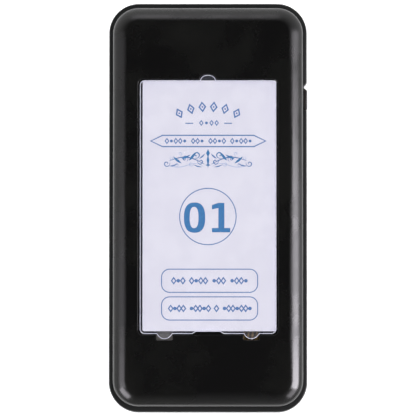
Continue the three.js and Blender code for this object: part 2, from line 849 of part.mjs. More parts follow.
// A plated strip: a pad that shows in the end wall, a flange behind the wall and a foot under the board.
function chargingContact(side) {
  const x = side * contactX;
  const wallInside = -innerY;
  const outside = -bodyLength / 2 + keyGap / 2;
  const flangeY = wallInside + fitGap;
  const low = contactZ - contactHeight / 2;
  const high = contactZ + contactHeight / 2;
  const lip = keyGap + keyLip / 2;
  const footTop = tongueBottom - looseGap / 2;
  const footWidth = contactWidth / 2;
  const footEnd = -boardY + 3;
  const pad = box(x - contactWidth / 2, x + contactWidth / 2, outside, flangeY + contactSheet / 2, low, high);
  const flange = box(
    x - contactWidth / 2 - lip,
    x + contactWidth / 2 + lip,
    flangeY,
    flangeY + contactSheet,
    low - lip,
    high + lip,
  );
  const riser = box(x - footWidth / 2, x + footWidth / 2, flangeY, flangeY + contactSheet, contactZ, footTop);
  const foot = box(x - footWidth / 2, x + footWidth / 2, flangeY, footEnd, footTop - contactSheet, footTop);
  return join(pad, flange, riser, foot);
}

// ---------------------------------------------------------------- the pager

const black = 0x0b0d0c;
const steel = 0xb9bcc0;
const gold = 0xc9a44c;
const packageBlack = 0x17181a;

addPiece("rear_cover", rearCover(), black, 0.5);
addPiece("front_housing", frontHousing(), black, 0.3);
addPiece("card_cover", cardCover(), 0xf4f7fa, 0.05, 0, 0.25);
addPiece("printed_card", printedCard(), 0xe2e0eb, 0.8);

addPiece("power_key", powerKey(), 0x1b1714, 0.45);
addPiece("switch_body", switchBody(), packageBlack, 0.5);
addPiece("switch_plunger", switchPlunger(), 0xe8e4da, 0.5);

for (const [name, sideX, sideY] of corners) {
  const seat = headSeat - seatGap;
  const x = sideX * screwX;
  const y = sideY * screwY;
  const part = screw(x, y, seat, screwRadius, screwHeadRadius, screwHeadHeight, screwLength, false);
  addPiece(`case_screw_${name}`, part, steel, 0.3, 1);
}
for (const [name, sideX, sideY] of boardScrewCorners) {
  const x = sideX * boardScrewX;
  const y = sideY * boardScrewY;
  const part = screw(x, y, chipSeat, boardScrewRadius, 1.5, 0.9, boardScrewLength, true);
  addPiece(`board_screw_${name}`, part, steel, 0.3, 1);
}

addPiece("main_board", mainBoard(), 0x14532e, 0.45);
addPiece("controller_chip", chip(-5, 8, 5.4, 7, 1.5, 7), packageBlack, 0.5);
addPiece("receiver_chip", chip(8, -4, 3.9, 9, 1.5, 8), packageBlack, 0.5);
addPiece("charger_chip", chip(-11, -20, 3.9, 5, 1.5, 4), packageBlack, 0.5);
const crystalOutline = roundedRectangle(10.5, 4, 1.95);
const crystal = prism(crystalOutline, chipSeat, chipSeat + tallestChip, 4).translate([7, -16, 0]);
addPiece("crystal_can", crystal, steel, 0.25, 1);
const coil = join(
  blockAt(-11, -10, 5, 5, chipSeat, chipSeat + 0.6),
  pin(-11, -10, 2.4, chipSeat + 0.4, chipSeat + 1.8, 20),
);
addPiece("charger_inductor", coil, 0x3a3532, 0.6);
const capacitorYs = [16, 21];
capacitorYs.forEach((y, index) => {
  const capacitor = blockAt(9, y, 5.6, 2.8, chipSeat, chipSeat + 1.8);
  addPiece(`filter_capacitor_${index + 1}`, capacitor, gold, 0.5);
});

const resistorY = -2;
const resistorPitch = 4;
for (let index = 0; index < 4; index += 1) {
  const resistor = blockAt(-12 + index * resistorPitch, resistorY, 2, 1.25, chipSeat, chipSeat + 0.5);
  addPiece(`resistor_${index + 1}`, resistor, packageBlack, 0.4);
}

const sideLampX = (windowWidth / 2 + trayWall + boardX) / 2;
const sideLampPitch = windowHalfY - sideLampInset;
const endLampY = (windowHalfY + trayWall + boardY) / 2 + 2;
for (const [side, sign] of [["left", -1], ["right", 1]]) {
  for (let index = 0; index < 3; index += 1) {
    const part = lamp(sign * sideLampX, (1 - index) * sideLampPitch);
    addPiece(`lamp_${side}_${index + 1}`, part, 0xf1efe6, 0.35);
  }
}
for (const [end, sign] of [["top", 1], ["bottom", -1]]) {
  for (const [side, across] of [["left", -1], ["right", 1]]) {
    const part = lamp(across * endLampX, sign * endLampY);
    addPiece(`lamp_${end}_${side}`, part, 0xf1efe6, 0.35);
  }
}

addPiece("buzzer", buzzer(), packageBlack, 0.5);
addPiece("aerial_coil", aerialCoil(), 0xc08a3e, 0.3, 1);

addPiece("battery_cell", batteryCell(), 0xb8bbbd, 0.35, 0.6);
addPiece("cell_circuit", cellCircuit(), 0xb8862f, 0.4);
addPiece("cell_pad", cellPad(), 0xf0f0ee, 0.9);
addPiece("battery_lead_red", batteryLead(1), 0xb3201c, 0.5);
addPiece("battery_lead_black", batteryLead(-1), 0x15151a, 0.5);
addPiece("battery_plug", batteryPlug(), 0xf2efe6, 0.5);
addPiece("battery_socket", batterySocket(), 0xe9e5d8, 0.5);

addPiece("motor_can", motorCan(), 0x9ea1a5, 0.3, 1);
addPiece("motor_endcap", motorEndcap(), 0xe9e5d8, 0.5);
addPiece("motor_shaft", motorShaft(), steel, 0.2, 1);
addPiece("motor_weight", motorWeight(), 0x77797c, 0.4, 1);
addPiece("motor_lead_red", motorLead(1), 0xb3201c, 0.5);
addPiece("motor_lead_blue", motorLead(-1), 0x1f3f9a, 0.5);

addPiece("charging_contact_left", chargingContact(-1), gold, 0.25, 1);
addPiece("charging_contact_right", chargingContact(1), gold, 0.25, 1);

export default pager;
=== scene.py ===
# %% [markdown]
# # A guest pager
# A guest pager is a slim battery receiver that a counter hands out: it flashes and shakes when a meal is
# ready. It lies on its back with its card window up. Its frame, the joints and every size come from the
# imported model, so this lesson only makes the surfaces that a person sees, in fine meshes, and gives each
# one its finish.
# %% Load the frame
import itertools

import bmesh
import bpy
import numpy as np
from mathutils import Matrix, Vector, geometry


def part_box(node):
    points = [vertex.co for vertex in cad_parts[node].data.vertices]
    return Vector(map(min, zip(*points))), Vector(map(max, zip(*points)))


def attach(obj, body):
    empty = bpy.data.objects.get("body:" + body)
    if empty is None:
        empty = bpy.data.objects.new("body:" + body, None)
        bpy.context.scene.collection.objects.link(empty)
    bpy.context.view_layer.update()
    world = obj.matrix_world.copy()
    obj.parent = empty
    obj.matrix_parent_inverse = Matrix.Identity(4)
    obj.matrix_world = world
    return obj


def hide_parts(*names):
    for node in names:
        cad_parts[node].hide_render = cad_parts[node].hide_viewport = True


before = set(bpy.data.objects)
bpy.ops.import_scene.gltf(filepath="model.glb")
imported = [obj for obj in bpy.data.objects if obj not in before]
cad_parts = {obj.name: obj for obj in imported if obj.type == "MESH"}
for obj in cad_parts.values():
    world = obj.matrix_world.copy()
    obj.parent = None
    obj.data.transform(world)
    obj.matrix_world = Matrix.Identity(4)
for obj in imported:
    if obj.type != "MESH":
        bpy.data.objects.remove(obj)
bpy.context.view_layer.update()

MM = 0.001


# %% Read a node's corners in millimetres
def corners_of(node):
    """The lowest and the highest corner of a CAD node, each as three numbers in millimetres."""
    low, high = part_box(node)
    return np.array(low) / MM, np.array(high) / MM


_, front_high = corners_of("front_housing")
rear_low, rear_high = corners_of("rear_cover")
cover_low, cover_high = corners_of("card_cover")
card_low, card_high = corners_of("printed_card")
key_low, key_high = corners_of("power_key")
print("body is", rear_high[0] - rear_low[0], "by", rear_high[1] - rear_low[1], "by", front_high[2], "mm")


# %% [markdown]
# ## Outlines
# Nearly every moulded part here starts from an outline in plan. An outline is two arrays: its points, and
# at each point the direction that leads straight out of it. Growing an outline is then one sum, so a rolled
# edge or a chamfer is the same outline grown and raised in steps.
# %% Rounded rectangles and circles
QUARTER = np.pi / 2
SHARPEST_MITRE = 0.6  # no corner is pushed out further than 1 / 0.6 of the growth


def rounded_rectangle(half_x, half_y, corner, middle=(0, 0), steps=20, low_xs=(), right_ys=()):
    """A rounded rectangle, anticlockwise: four quarter circles round the corners of a smaller rectangle.

    low_xs and right_ys are extra points on the low side and the right side, in the order they are passed.
    """
    core_x, core_y = half_x - corner, half_y - corner
    sweep = np.linspace(0, QUARTER, steps + 1)
    parts = []
    for quarter, (sx, sy) in enumerate([(1, 1), (-1, 1), (-1, -1), (1, -1)]):
        centre = np.tile([sx * core_x, sy * core_y], (steps + 1, 1))
        parts.append((centre, sweep + quarter * QUARTER))
        if quarter == 2 and len(low_xs):
            centre = np.column_stack([low_xs, np.full(len(low_xs), -core_y)])
            parts.append((centre, np.full(len(low_xs), 3 * QUARTER)))
    if len(right_ys):
        centre = np.column_stack([np.full(len(right_ys), core_x), right_ys])
        parts.append((centre, np.zeros(len(right_ys))))
    turn = np.concatenate([angles for _, angles in parts])
    outward = np.column_stack([np.cos(turn), np.sin(turn)])
    points = np.vstack([centres for centres, _ in parts]) + corner * outward + np.array(middle)
    return points, outward


def circle(radius, middle=(0, 0), count=48):
    """A circle, anticlockwise: the middle plus the radius times the cosine and the sine of the turn."""
    turn = np.arange(count) * 2 * np.pi / count
    outward = np.column_stack([np.cos(turn), np.sin(turn)])
    return radius * outward + np.array(middle), outward


def free_outline(points):
    """Any anticlockwise outline: the way out of a point is square to both its sides, and mitred."""
    points = np.asarray(points, float)
    before = points - np.roll(points, 1, axis=0)
    after = np.roll(points, -1, axis=0) - points
    before /= np.linalg.norm(before, axis=1, keepdims=True)
    after /= np.linalg.norm(after, axis=1, keepdims=True)
    square = np.column_stack([before[:, 1] + after[:, 1], -(before[:, 0] + after[:, 0])])
    length = np.linalg.norm(square, axis=1, keepdims=True)
    outward = square / length
    mitre = np.clip(length / 2, SHARPEST_MITRE, 1)
    return points, outward / mitre


# %% [markdown]
# ## Surfaces
# A patch is a set of points and the faces between them. Three makers are enough for the whole pager: a grid
# with open or closed rows, an outline grown and raised in steps, and a flat plate between an outline and
# its openings. Patches that share edge points weld into one closed skin.
# %% Patches
def grid(points, closed=True, leave_out=None, finish=0):
    """Four-sided faces between the rows of a (rows, columns, 3) array; closed joins each row's ends."""
    rows, columns, _ = points.shape
    j = np.arange(rows - 1)[:, None]
    i = np.arange(columns if closed else columns - 1)[None, :]
    after = (i + 1) % columns
    low, high = j * columns, (j + 1) * columns
    quads = np.stack([low + i, low + after, high + after, high + i], -1)
    if leave_out is not None:
        quads = quads[~leave_out[: quads.shape[0], : quads.shape[1]]]
    return points.reshape(-1, 3), quads.reshape(-1, 4).tolist(), finish


def carried(outline, grow, heights):
    """An outline carried up in steps: step j is the outline grown by grow[j] and lifted to heights[j]."""
    points, outward = outline
    plan = points[None] + outward[None] * np.asarray(grow, float)[:, None, None]
    lift = np.broadcast_to(np.asarray(heights, float)[:, None, None], plan.shape[:2] + (1,))
    return np.concatenate([plan, lift], -1)


def plate(loops, height, finish=0):
    """A flat plate at one height: the first loop is its edge, the others are openings; triangles fill it."""
    rings = [np.column_stack([loop, np.full(len(loop), height)]) for loop in loops]
    triangles = geometry.tessellate_polygon([list(map(Vector, ring)) for ring in rings])
    return np.vstack(rings), [list(t) for t in triangles], finish


def grown(outline, amount):
    """The points of an outline after it grows by amount."""
    return outline[0] + outline[1] * amount


# %% Turn patches into one piece
WELD = 0.001 * MM
SHARP = np.radians(28)


def make_piece(name, patches, materials, body, nodes=()):
    """Joins patches in millimetres into one welded mesh in metres, faces outwards, creases kept sharp."""
    starts = np.cumsum([0] + [len(points) for points, _, _ in patches[:-1]])
    points = np.vstack([patch[0] for patch in patches]) * MM
    faces = []
    for start, (_, patch_faces, _) in zip(starts, patches):
        faces += (np.asarray(patch_faces) + start).tolist()
    finishes = np.concatenate([np.full(len(patch[1]), patch[2]) for patch in patches])
    mesh = bpy.data.meshes.new(name)
    mesh.from_pydata(points.tolist(), [], faces)
    mesh.polygons.foreach_set("material_index", finishes.astype(np.int32))
    skin = bmesh.new()
    skin.from_mesh(mesh)
    bmesh.ops.remove_doubles(skin, verts=skin.verts, dist=WELD)
    bmesh.ops.dissolve_degenerate(skin, edges=skin.edges, dist=WELD / 10)
    bmesh.ops.recalc_face_normals(skin, faces=skin.faces)
    open_edges = sum(1 for edge in skin.edges if not edge.is_manifold)
    skin.to_mesh(mesh)
    skin.free()
    mesh.polygons.foreach_set("use_smooth", np.ones(len(mesh.polygons), bool))
    mesh.set_sharp_from_angle(angle=SHARP)
    for material in materials:
        mesh.materials.append(material)
    piece = bpy.data.objects.new(name, mesh)
    bpy.context.scene.collection.objects.link(piece)
    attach(piece, body)
    if nodes:
        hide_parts(*nodes)
    print(name, len(mesh.polygons), "faces,", open_edges, "open edges")


# %% [markdown]
# ## Finishes
# Each finish is named for the real material and how it was shaped. Colours are written as the eye knows
# them, in sRGB hex, and one function turns them to the linear numbers that light is worked out in. One
# helper adds a node, sets its settings and joins its inputs.
# %% Colour and node helpers
def colour(text):
    """sRGB hex to linear red, green, blue and alpha."""
    srgb = np.array([int(text[k : k + 2], 16) for k in (1, 3, 5)]) / 255
    linear = np.where(srgb <= 0.04045, srgb / 12.92, ((srgb + 0.055) / 1.055) ** 2.4)
    return (*linear.tolist(), 1.0)


def add_node(tree, kind, inputs=None, **settings):
    """Adds a node; inputs gives a value or another node's output for each input by name or number."""
    node = tree.nodes.new(kind)
    for name, value in settings.items():
        setattr(node, name, value)
    for key, value in (inputs or {}).items():
        if isinstance(value, bpy.types.NodeSocket):
            tree.links.new(value, node.inputs[key])
        else:
            node.inputs[key].default_value = value
    return node


def new_material(name):
    """An empty material with no nodes in it, and its node tree."""
    material = bpy.data.materials.new(name)
    material.use_nodes = True
    material.node_tree.nodes.clear()
    return material, material.node_tree


def per_metre(size_mm):
    """The Scale of a noise whose features are about size_mm across, on coordinates in metres."""
    return 1 / (size_mm * MM)


# %% [markdown]
# Most finishes differ only in numbers: two close colours in soft patches, a roughness that wanders between
# two values, and a fine grain that lifts the surface. One recipe holds them all, and each call below says
# what the real surface is.
# %% The shared recipe
CLOUD_LOW, CLOUD_HIGH = 0.36, 0.58  # the soft noise hardly leaves this range, so the range is spread out


def mottled(name, light, dark, patch_mm, rough, grain_mm, grain_height_mm, **sockets):
    """Two colours and two roughnesses mixed by soft noise of patch_mm, over a bump of grain_mm.

    grain_mm may be one size or three, for a grain that is drawn out along x, y or z.
    """
    material, tree = new_material(name)
    place = add_node(tree, "ShaderNodeTexCoord").outputs["Object"]
    cloud = {"Vector": place, "Scale": per_metre(patch_mm), "Detail": 4, "Roughness": 0.6}
    patches = add_node(tree, "ShaderNodeTexNoise", cloud).outputs[0]
    share = add_node(tree, "ShaderNodeMapRange", {0: patches, 1: CLOUD_LOW, 2: CLOUD_HIGH}).outputs[0]
    mixed = add_node(
        tree, "ShaderNodeMix", {0: share, 6: colour(light), 7: colour(dark)}, data_type="RGBA"
    ).outputs[2]
    roughness = add_node(tree, "ShaderNodeMapRange", {0: share, 3: rough[0], 4: rough[1]}).outputs[0]
    stretch = np.broadcast_to(np.asarray(grain_mm, float), 3)
    turned = add_node(
        tree, "ShaderNodeMapping", {"Vector": place, "Scale": tuple(float(per_metre(s)) for s in stretch)}
    ).outputs[0]
    grain = add_node(tree, "ShaderNodeTexNoise", {"Vector": turned, "Scale": 1.0, "Detail": 2}).outputs[0]
    bump = add_node(
        tree, "ShaderNodeBump", {"Height": grain, "Distance": grain_height_mm * MM, "Strength": 1.0}
    ).outputs[0]
    inputs = {"Base Color": mixed, "Roughness": roughness, "Normal": bump, **sockets}
    shader = add_node(tree, "ShaderNodeBsdfPrincipled", inputs).outputs[0]
    add_node(tree, "ShaderNodeOutputMaterial", {"Surface": shader})
    return material


# %% Finishes of the case
# Smoked polycarbonate from a fine-ground mould: near black, with a satin gloss that palms have smeared.
smoked_polycarbonate = mottled(
    "smoked_polycarbonate_moulded", "#121211", "#010101",
    patch_mm=15, rough=(0.18, 0.32), grain_mm=0.35, grain_height_mm=0.0012, IOR=1.58,
)
# Black ABS from a spark-eroded mould: an even fine grain, so its gloss is soft all over.
black_abs = mottled(
    "black_abs_spark_eroded", "#101211", "#090b0a",
    patch_mm=12, rough=(0.42, 0.52), grain_mm=0.25, grain_height_mm=0.004, IOR=1.53,
)
# The key is the same family of plastic with a little brown in it, worn smoother by fingers.
brown_black_abs = mottled(
    "brown_black_abs_key", "#1e1814", "#120f0d",
    patch_mm=3, rough=(0.3, 0.42), grain_mm=0.25, grain_height_mm=0.003, IOR=1.53,
)
print("case finishes", smoked_polycarbonate.name, black_abs.name, brown_black_abs.name)

# %% [markdown]
# The clear plate is laser-cut acrylic. Its faces let light straight through, so plain alpha stands for
# them: the card below stays as bright as it is. Its cut edge is opaque and near white: the pale line that
# light gathered in the plate shows at the edge is a painted highlight.
# %% Finishes of the window
clear_acrylic = mottled(
    "clear_acrylic_laser_cut", "#8d90a0", "#858898",
    patch_mm=14, rough=(0.04, 0.1), grain_mm=2.0, grain_height_mm=0.0005, IOR=1.49, Alpha=0.06,
)
# The cut edge's near-white colour is a painted highlight: it stands for the bright line of light caught in
# the plate.
edge_painted_highlight = mottled(
    "acrylic_edge_painted_highlight", "#ececfa", "#d2d2e8",
    patch_mm=1.2, rough=(0.3, 0.5), grain_mm=0.2, grain_height_mm=0.01, IOR=1.49,
)
# Coated card, a cool white that leans to lavender, with the faint cloud of its pulp.
coated_card = mottled(
    "coated_card_cool_white", "#dcdae6", "#d7d5e2",
    patch_mm=5, rough=(0.5, 0.62), grain_mm=0.15, grain_height_mm=0.002, IOR=1.45,
)
# Blue offset ink lies flat on the coating; its colour breathes a little where the sheet took less of it.
blue_ink = mottled(
    "blue_offset_ink", "#1f6fa8", "#1a67a1",
    patch_mm=0.8, rough=(0.45, 0.55), grain_mm=0.15, grain_height_mm=0.0005, IOR=1.45,
)
blue_ink_thin = mottled(
    "blue_offset_ink_thin_lines", "#4d74ac", "#456ca6",
    patch_mm=0.8, rough=(0.45, 0.55), grain_mm=0.15, grain_height_mm=0.0005, IOR=1.45,
)
blue_ink_pale = mottled(
    "blue_offset_ink_pale", "#a9b6d6", "#a0aed2",
    patch_mm=0.8, rough=(0.45, 0.55), grain_mm=0.15, grain_height_mm=0.0005, IOR=1.45,
)
print("window finishes", clear_acrylic.name, edge_painted_highlight.name, coated_card.name, blue_ink.name)

# %% [markdown]
# ## Front shell
# The front shell is a lid with a rolled edge. The roll is steep at the wall, eases quickly to a slope, and
# keeps a little slope until it meets the flat face, which is why the light ends there in a crisp line. The
# slope is written first and summed along its length, as a ship's line is faired from its angles.
# %% The rolled edge
ROLL_WIDTH = 3.85
ROLL_STEPS = 40
STEP_POWER = 1.6  # shorter steps at the wall, where the roll turns fastest


def roll_profile(width, slopes):
    """Grow and height of a roll from its slopes, which are (share of its length, degrees) points."""
    share, degrees = np.array(slopes, float).T
    s = np.linspace(0, 1, ROLL_STEPS + 1) ** STEP_POWER
    middle = (s[1:] + s[:-1]) / 2
    slope = np.radians(np.interp(middle, share, degrees))
    across = np.concatenate([[0], np.cumsum(np.cos(slope) * np.diff(s))])
    rise = np.concatenate([[0], np.cumsum(np.sin(slope) * np.diff(s))])
    return -across * width / across[-1], rise * width / across[-1]


roll_slopes = [(0, 90), (0.1, 62), (0.22, 44), (0.5, 31), (0.8, 21), (0.95, 13), (1, 2)]
roll_grow, roll_rise = roll_profile(ROLL_WIDTH, roll_slopes)
face_top = front_high[2]
print("the roll rises", round(float(roll_rise[-1]), 2), "mm over", ROLL_WIDTH)

# %% The card window with its tab notch and latch slots
WINDOW_HALF_X, WINDOW_HALF_Y, WINDOW_CORNER = 18.75, 34.35, 1.3
TAB_REACH, LATCH_REACH = 1.45, 1.4
NOTCH_HALF_X, NOTCH_REACH = 2.35, 1.75
SLOT_X, SLOT_HALF_X, SLOT_CORNER = 11.65, 2.2, 0.3
SLOT_OUT, SLOT_IN = 1.4, 1.3
WINDOW_DEPTH, TRAY_FLOOR, TRAY_WALL = 1.45, 1.2, 1.2

cover_top_y = cover_high[1] - TAB_REACH
cover_bottom_y = cover_low[1] + LATCH_REACH
window_y = (cover_top_y + cover_bottom_y) / 2
edge_y = window_y - WINDOW_HALF_Y
window_floor = face_top - WINDOW_DEPTH
tray_bottom = window_floor - TRAY_FLOOR


def arc(centre, radius_x, radius_y, start, end, count):
    """Part of an ellipse from one angle to another, in degrees."""
    turn = np.radians(np.linspace(start, end, count))
    return np.column_stack([centre[0] + radius_x * np.cos(turn), centre[1] + radius_y * np.sin(turn)])


def slot_side(x):
    """A slot's far side, from left to right: down, round a corner, across, round a corner, and up."""
    low = edge_y - SLOT_OUT
    r = SLOT_CORNER
    left = arc((x - SLOT_HALF_X + r, low + r), r, r, 180, 270, 6)
    right = arc((x + SLOT_HALF_X - r, low + r), r, r, 270, 360, 6)
    return np.vstack([[x - SLOT_HALF_X, edge_y], left, right, [x + SLOT_HALF_X, edge_y]])


def window_outline():
    """The window, anticlockwise from its top right corner: arcs, the notch over the tab, the two slots."""
    x, y, r = WINDOW_HALF_X, WINDOW_HALF_Y, WINDOW_CORNER
    dip = np.degrees(np.arcsin((window_y + y - cover_top_y) / NOTCH_REACH))
    parts = [
        arc((x - r, window_y + y - r), r, r, 0, 90, 11),
        arc((0, cover_top_y), NOTCH_HALF_X, NOTCH_REACH, dip, 180 - dip, 33),
        arc((r - x, window_y + y - r), r, r, 90, 180, 11),
        arc((r - x, window_y - y + r), r, r, 180, 270, 11),
        slot_side(-SLOT_X),
        slot_side(SLOT_X),
        arc((x - r, window_y - y + r), r, r, 270, 360, 11),
    ]
    owner = np.concatenate([np.full(len(part), k) for k, part in enumerate(parts)])
    return np.vstack(parts), owner


# Round the rim each slot lies outside the window; on the window's floor the same slot runs inwards.
rim_points, owner = window_outline()
floor_points = rim_points.copy()
left_slot, right_slot = np.flatnonzero(owner == 4), np.flatnonzero(owner == 5)
both_slots = np.concatenate([left_slot, right_slot])
floor_points[both_slots, 1] = edge_y + (edge_y - rim_points[both_slots, 1]) * SLOT_IN / SLOT_OUT
rim = free_outline(rim_points)
print("window", 2 * WINDOW_HALF_X, "by", 2 * WINDOW_HALF_Y, "mm at y", round(float(window_y), 2))

# %% [markdown]
# The window sinks into a tray. Its rim has a small round edge that catches the light. Under the tray the
# shell is hollow, and a tongue hangs into the rear shell, so the front shell is closed all the way round
# like the real moulding.
# %% Build the front shell
FRONT_CORNER, WALL, RIM_ROUND, FLAT_RIM = 6.9, 1.6, 0.14, 0.05
TONGUE_OUT, TONGUE_IN, TONGUE_LOW, TONGUE_ROOT = 0.8, 1.8, 6.9, 9.2
BASE_Z, FOOT_ROUND = 8.2, 0.15
TRAY_END_GAP, ROOF_DROP = 0.3, 2.0
BOSS_RADIUS, BOSS_HOLE, BOSS_LOW, BOSS_DEPTH, BOSS_ROOT = 2.5, 1.15, 6.4, 11.1, 0.6

front_outline = rounded_rectangle(front_high[0], front_high[1], FRONT_CORNER)
wall_top = face_top - roll_rise[-1]
quarter = np.linspace(0, QUARTER, 6)
foot_grow, foot_z = -FOOT_ROUND * (1 - np.sin(quarter)), BASE_Z + FOOT_ROUND * (1 - np.cos(quarter))
outer_grow = np.concatenate([foot_grow, roll_grow, [-ROLL_WIDTH - FLAT_RIM]])
outer_z = np.concatenate([foot_z, wall_top + roll_rise, [face_top]])
rim_turn = np.linspace(0, QUARTER, 5)
rim_grow = np.concatenate([[RIM_ROUND + FLAT_RIM], RIM_ROUND * (1 - np.sin(rim_turn))])
rim_z = np.concatenate([[face_top], face_top - RIM_ROUND * (1 - np.cos(rim_turn))])

roof_z = face_top - WALL
inner_turn = np.linspace(QUARTER, 0, 10)
inner_grow = -WALL - (ROLL_WIDTH - WALL) * (1 - np.cos(inner_turn))
inner_z = roof_z - ROOF_DROP * (1 - np.sin(inner_turn))
tray_half = (WINDOW_HALF_X + TRAY_WALL, WINDOW_HALF_Y + TRAY_WALL + TRAY_END_GAP)
tray = rounded_rectangle(*tray_half, WINDOW_CORNER + TRAY_WALL, (0, window_y))
bosses = []
for row in ("upper", "lower"):
    for side in ("right", "left"):
        low, high = corners_of(f"case_screw_{row}_{side}")
        bosses.append(((low + high) / 2)[:2])

front_patches = [
    grid(carried(front_outline, outer_grow, outer_z)),
    plate([grown(front_outline, -ROLL_WIDTH - FLAT_RIM), grown(rim, RIM_ROUND + FLAT_RIM)], face_top),
    grid(carried(rim, np.append(rim_grow, 0), np.append(rim_z, window_floor))),
    plate([floor_points], window_floor),
    plate([floor_points], tray_bottom),
    plate([tray[0], rim_points], tray_bottom),
    grid(carried(tray, [0, 0], [tray_bottom, roof_z])),
    plate([grown(front_outline, -ROLL_WIDTH), tray[0]], roof_z),
    grid(carried(front_outline, inner_grow, inner_z)),
    grid(
        carried(
            front_outline,
            [-WALL, -WALL, -TONGUE_IN, -TONGUE_IN, -TONGUE_OUT, -TONGUE_OUT, -FOOT_ROUND],
            [inner_z[-1], TONGUE_ROOT, TONGUE_ROOT, TONGUE_LOW, TONGUE_LOW, BASE_Z, BASE_Z],
        )
    ),
]


def upright(points, heights):
    """A line of points in plan stood up at each of the heights, as the rows of a grid."""
    return np.stack([np.column_stack([points, np.full(len(points), z)]) for z in heights])


for slot in (left_slot, right_slot):
    for side in (rim_points[slot], floor_points[slot]):
        front_patches.append(grid(upright(side, (window_floor, tray_bottom)), closed=False))
for middle in bosses:
    boss = circle(BOSS_RADIUS, middle)
    drop = BOSS_HOLE - BOSS_RADIUS
    root_z = roof_z + BOSS_ROOT
    front_patches.append(grid(carried(boss, [0, 0, drop, drop], [root_z, BOSS_LOW, BOSS_LOW, BOSS_DEPTH])))
    front_patches += [plate([grown(boss, drop)], BOSS_DEPTH), plate([boss[0]], root_z)]
make_piece("front_shell", front_patches, [smoked_polycarbonate], "root", ["front_housing"])

# %% [markdown]
# ## Rear shell
# The rear shell is a tray that stands a little proud of the front shell, which gives the dark ledge all
# round. Its outline is carried up the wall in rows. The rows and the points of the outline fall on the
# edges of the key's opening and of the two contact openings, so those are simply left out of the grid,
# outside and inside alike, and a short wall joins the two. The scoop beside the key is a plane that cuts
# the outline back, with a flare above it and a square end below.
# %% Rows and points of the rear shell
REAR_CORNER, REAR_ROLL, RIM_FILLET = 8.0, 3.0, 0.3
REAR_TOP = rear_high[2]
KEY_GAP, KEY_LIP, SCOOP = 0.25, 0.4, 0.8
CONTACT_HALF = 2.75
CONTACT_ROWS = (2.75, 6.05)

key_mid = (key_low + key_high) / 2
key_half_y = (key_high[1] - key_low[1]) / 2 - KEY_LIP
key_half_z = (key_high[2] - key_low[2]) / 2 - KEY_LIP
key_rows = (key_mid[2] - key_half_z, key_mid[2] + key_half_z)
scoop_x = rear_high[0] - SCOOP
contact_low, contact_high = corners_of("charging_contact_right")
contact_x = (contact_low[0] + contact_high[0]) / 2
SQUARE_END = 0.02  # the low end of the scoop steps out over this length
right_ys = key_mid[1] + np.array([-key_half_y - SQUARE_END, -key_half_y, key_half_y, key_half_y + SCOOP])
low_xs = np.concatenate([side * contact_x + np.array([-CONTACT_HALF, CONTACT_HALF]) for side in (-1, 1)])
rear_outline = rounded_rectangle(
    rear_high[0], rear_high[1], REAR_CORNER, steps=24, low_xs=low_xs, right_ys=right_ys
)
print("key opening rows", np.round(key_rows, 2), "contacts at x", round(float(contact_x), 2))


def roll_in(z, radius, start):
    """How far a quarter-round roll has pulled in at height z; it starts at height start."""
    below = np.clip(start - np.asarray(z, float), 0, radius)
    return radius - np.sqrt(radius**2 - below**2)


def sorted_rows(*groups):
    """All the heights in the groups, lowest first, each once."""
    return np.unique(np.round(np.concatenate(groups), 5))


MIDDLE_ROW = 4.5
wall_rows = np.array([*CONTACT_ROWS, *key_rows, REAR_ROLL, MIDDLE_ROW])
turn = np.linspace(0, QUARTER, 15)
outer_rows = sorted_rows(REAR_ROLL * (1 - np.cos(turn)), wall_rows, [REAR_TOP - RIM_FILLET])
fillet = np.linspace(0, QUARTER, 6)[1:]
outer_grow = -np.concatenate([roll_in(outer_rows, REAR_ROLL, REAR_ROLL), RIM_FILLET * (1 - np.cos(fillet))])
outer_z = np.concatenate([outer_rows, REAR_TOP - RIM_FILLET + RIM_FILLET * np.sin(fillet)])
inner_roll = REAR_ROLL - WALL
inner_rows = sorted_rows(REAR_ROLL - inner_roll * np.cos(turn[::2]), wall_rows, [REAR_TOP])
inner_grow = -WALL - roll_in(inner_rows, inner_roll, REAR_ROLL)


def scooped(points):
    """The surface with the scoop: x is held to a plane beside the key, and to a 45 degree flare above it."""
    held = points.copy()
    above = points[..., 1] - (key_mid[1] + key_half_y)
    below = (key_mid[1] - key_half_y) - points[..., 1]
    limit = scoop_x + np.maximum(0, above) + np.maximum(0, below) * SCOOP / SQUARE_END
    held[..., 0] = np.minimum(points[..., 0], limit)
    return held


outer_wall = scooped(carried(rear_outline, outer_grow, outer_z))
inner_wall = carried(rear_outline, inner_grow, inner_rows)

# %% Openings in the wall
outline_points, outline_ways = rear_outline
faces_right, faces_low = np.isclose(outline_ways[:, 0], 1), np.isclose(outline_ways[:, 1], -1)
at_key = np.isclose(outline_points[:, 1], right_ys[1]) & faces_right
openings = [(np.flatnonzero(at_key)[0], key_rows)]
for start in (low_xs[0], low_xs[2]):
    at_contact = np.isclose(outline_points[:, 0], start) & faces_low
    openings.append((np.flatnonzero(at_contact)[0], CONTACT_ROWS))


def opening_cells(heights, columns):
    """True for every cell of a wall's grid that an opening takes; an opening is one column wide."""
    cells = np.zeros((len(heights) - 1, columns), bool)
    middle = (heights[1:] + heights[:-1]) / 2
    for column, (low, high) in openings:
        cells[:, column] = (middle > low) & (middle < high)
    return cells


TOUCHING = 1e-4  # heights closer than this are the same row


def opening_edge(wall, heights, column, rows):
    """The points round one opening in a wall's grid, in order."""
    inside = (heights > rows[0] - TOUCHING) & (heights < rows[1] + TOUCHING)
    left, right = wall[inside, column], wall[inside, column + 1]
    return np.vstack([left, right[::-1]])


columns = len(rear_outline[0])
rear_patches = [
    grid(outer_wall, leave_out=opening_cells(outer_z, columns)),
    grid(inner_wall, leave_out=opening_cells(inner_rows, columns)),
    grid(np.stack([outer_wall[-1], inner_wall[-1]])),
]
for column, rows in openings:
    outside = opening_edge(outer_wall, outer_z, column, rows)
    inside = opening_edge(inner_wall, inner_rows, column, rows)
    rear_patches.append(grid(np.stack([outside, inside])))

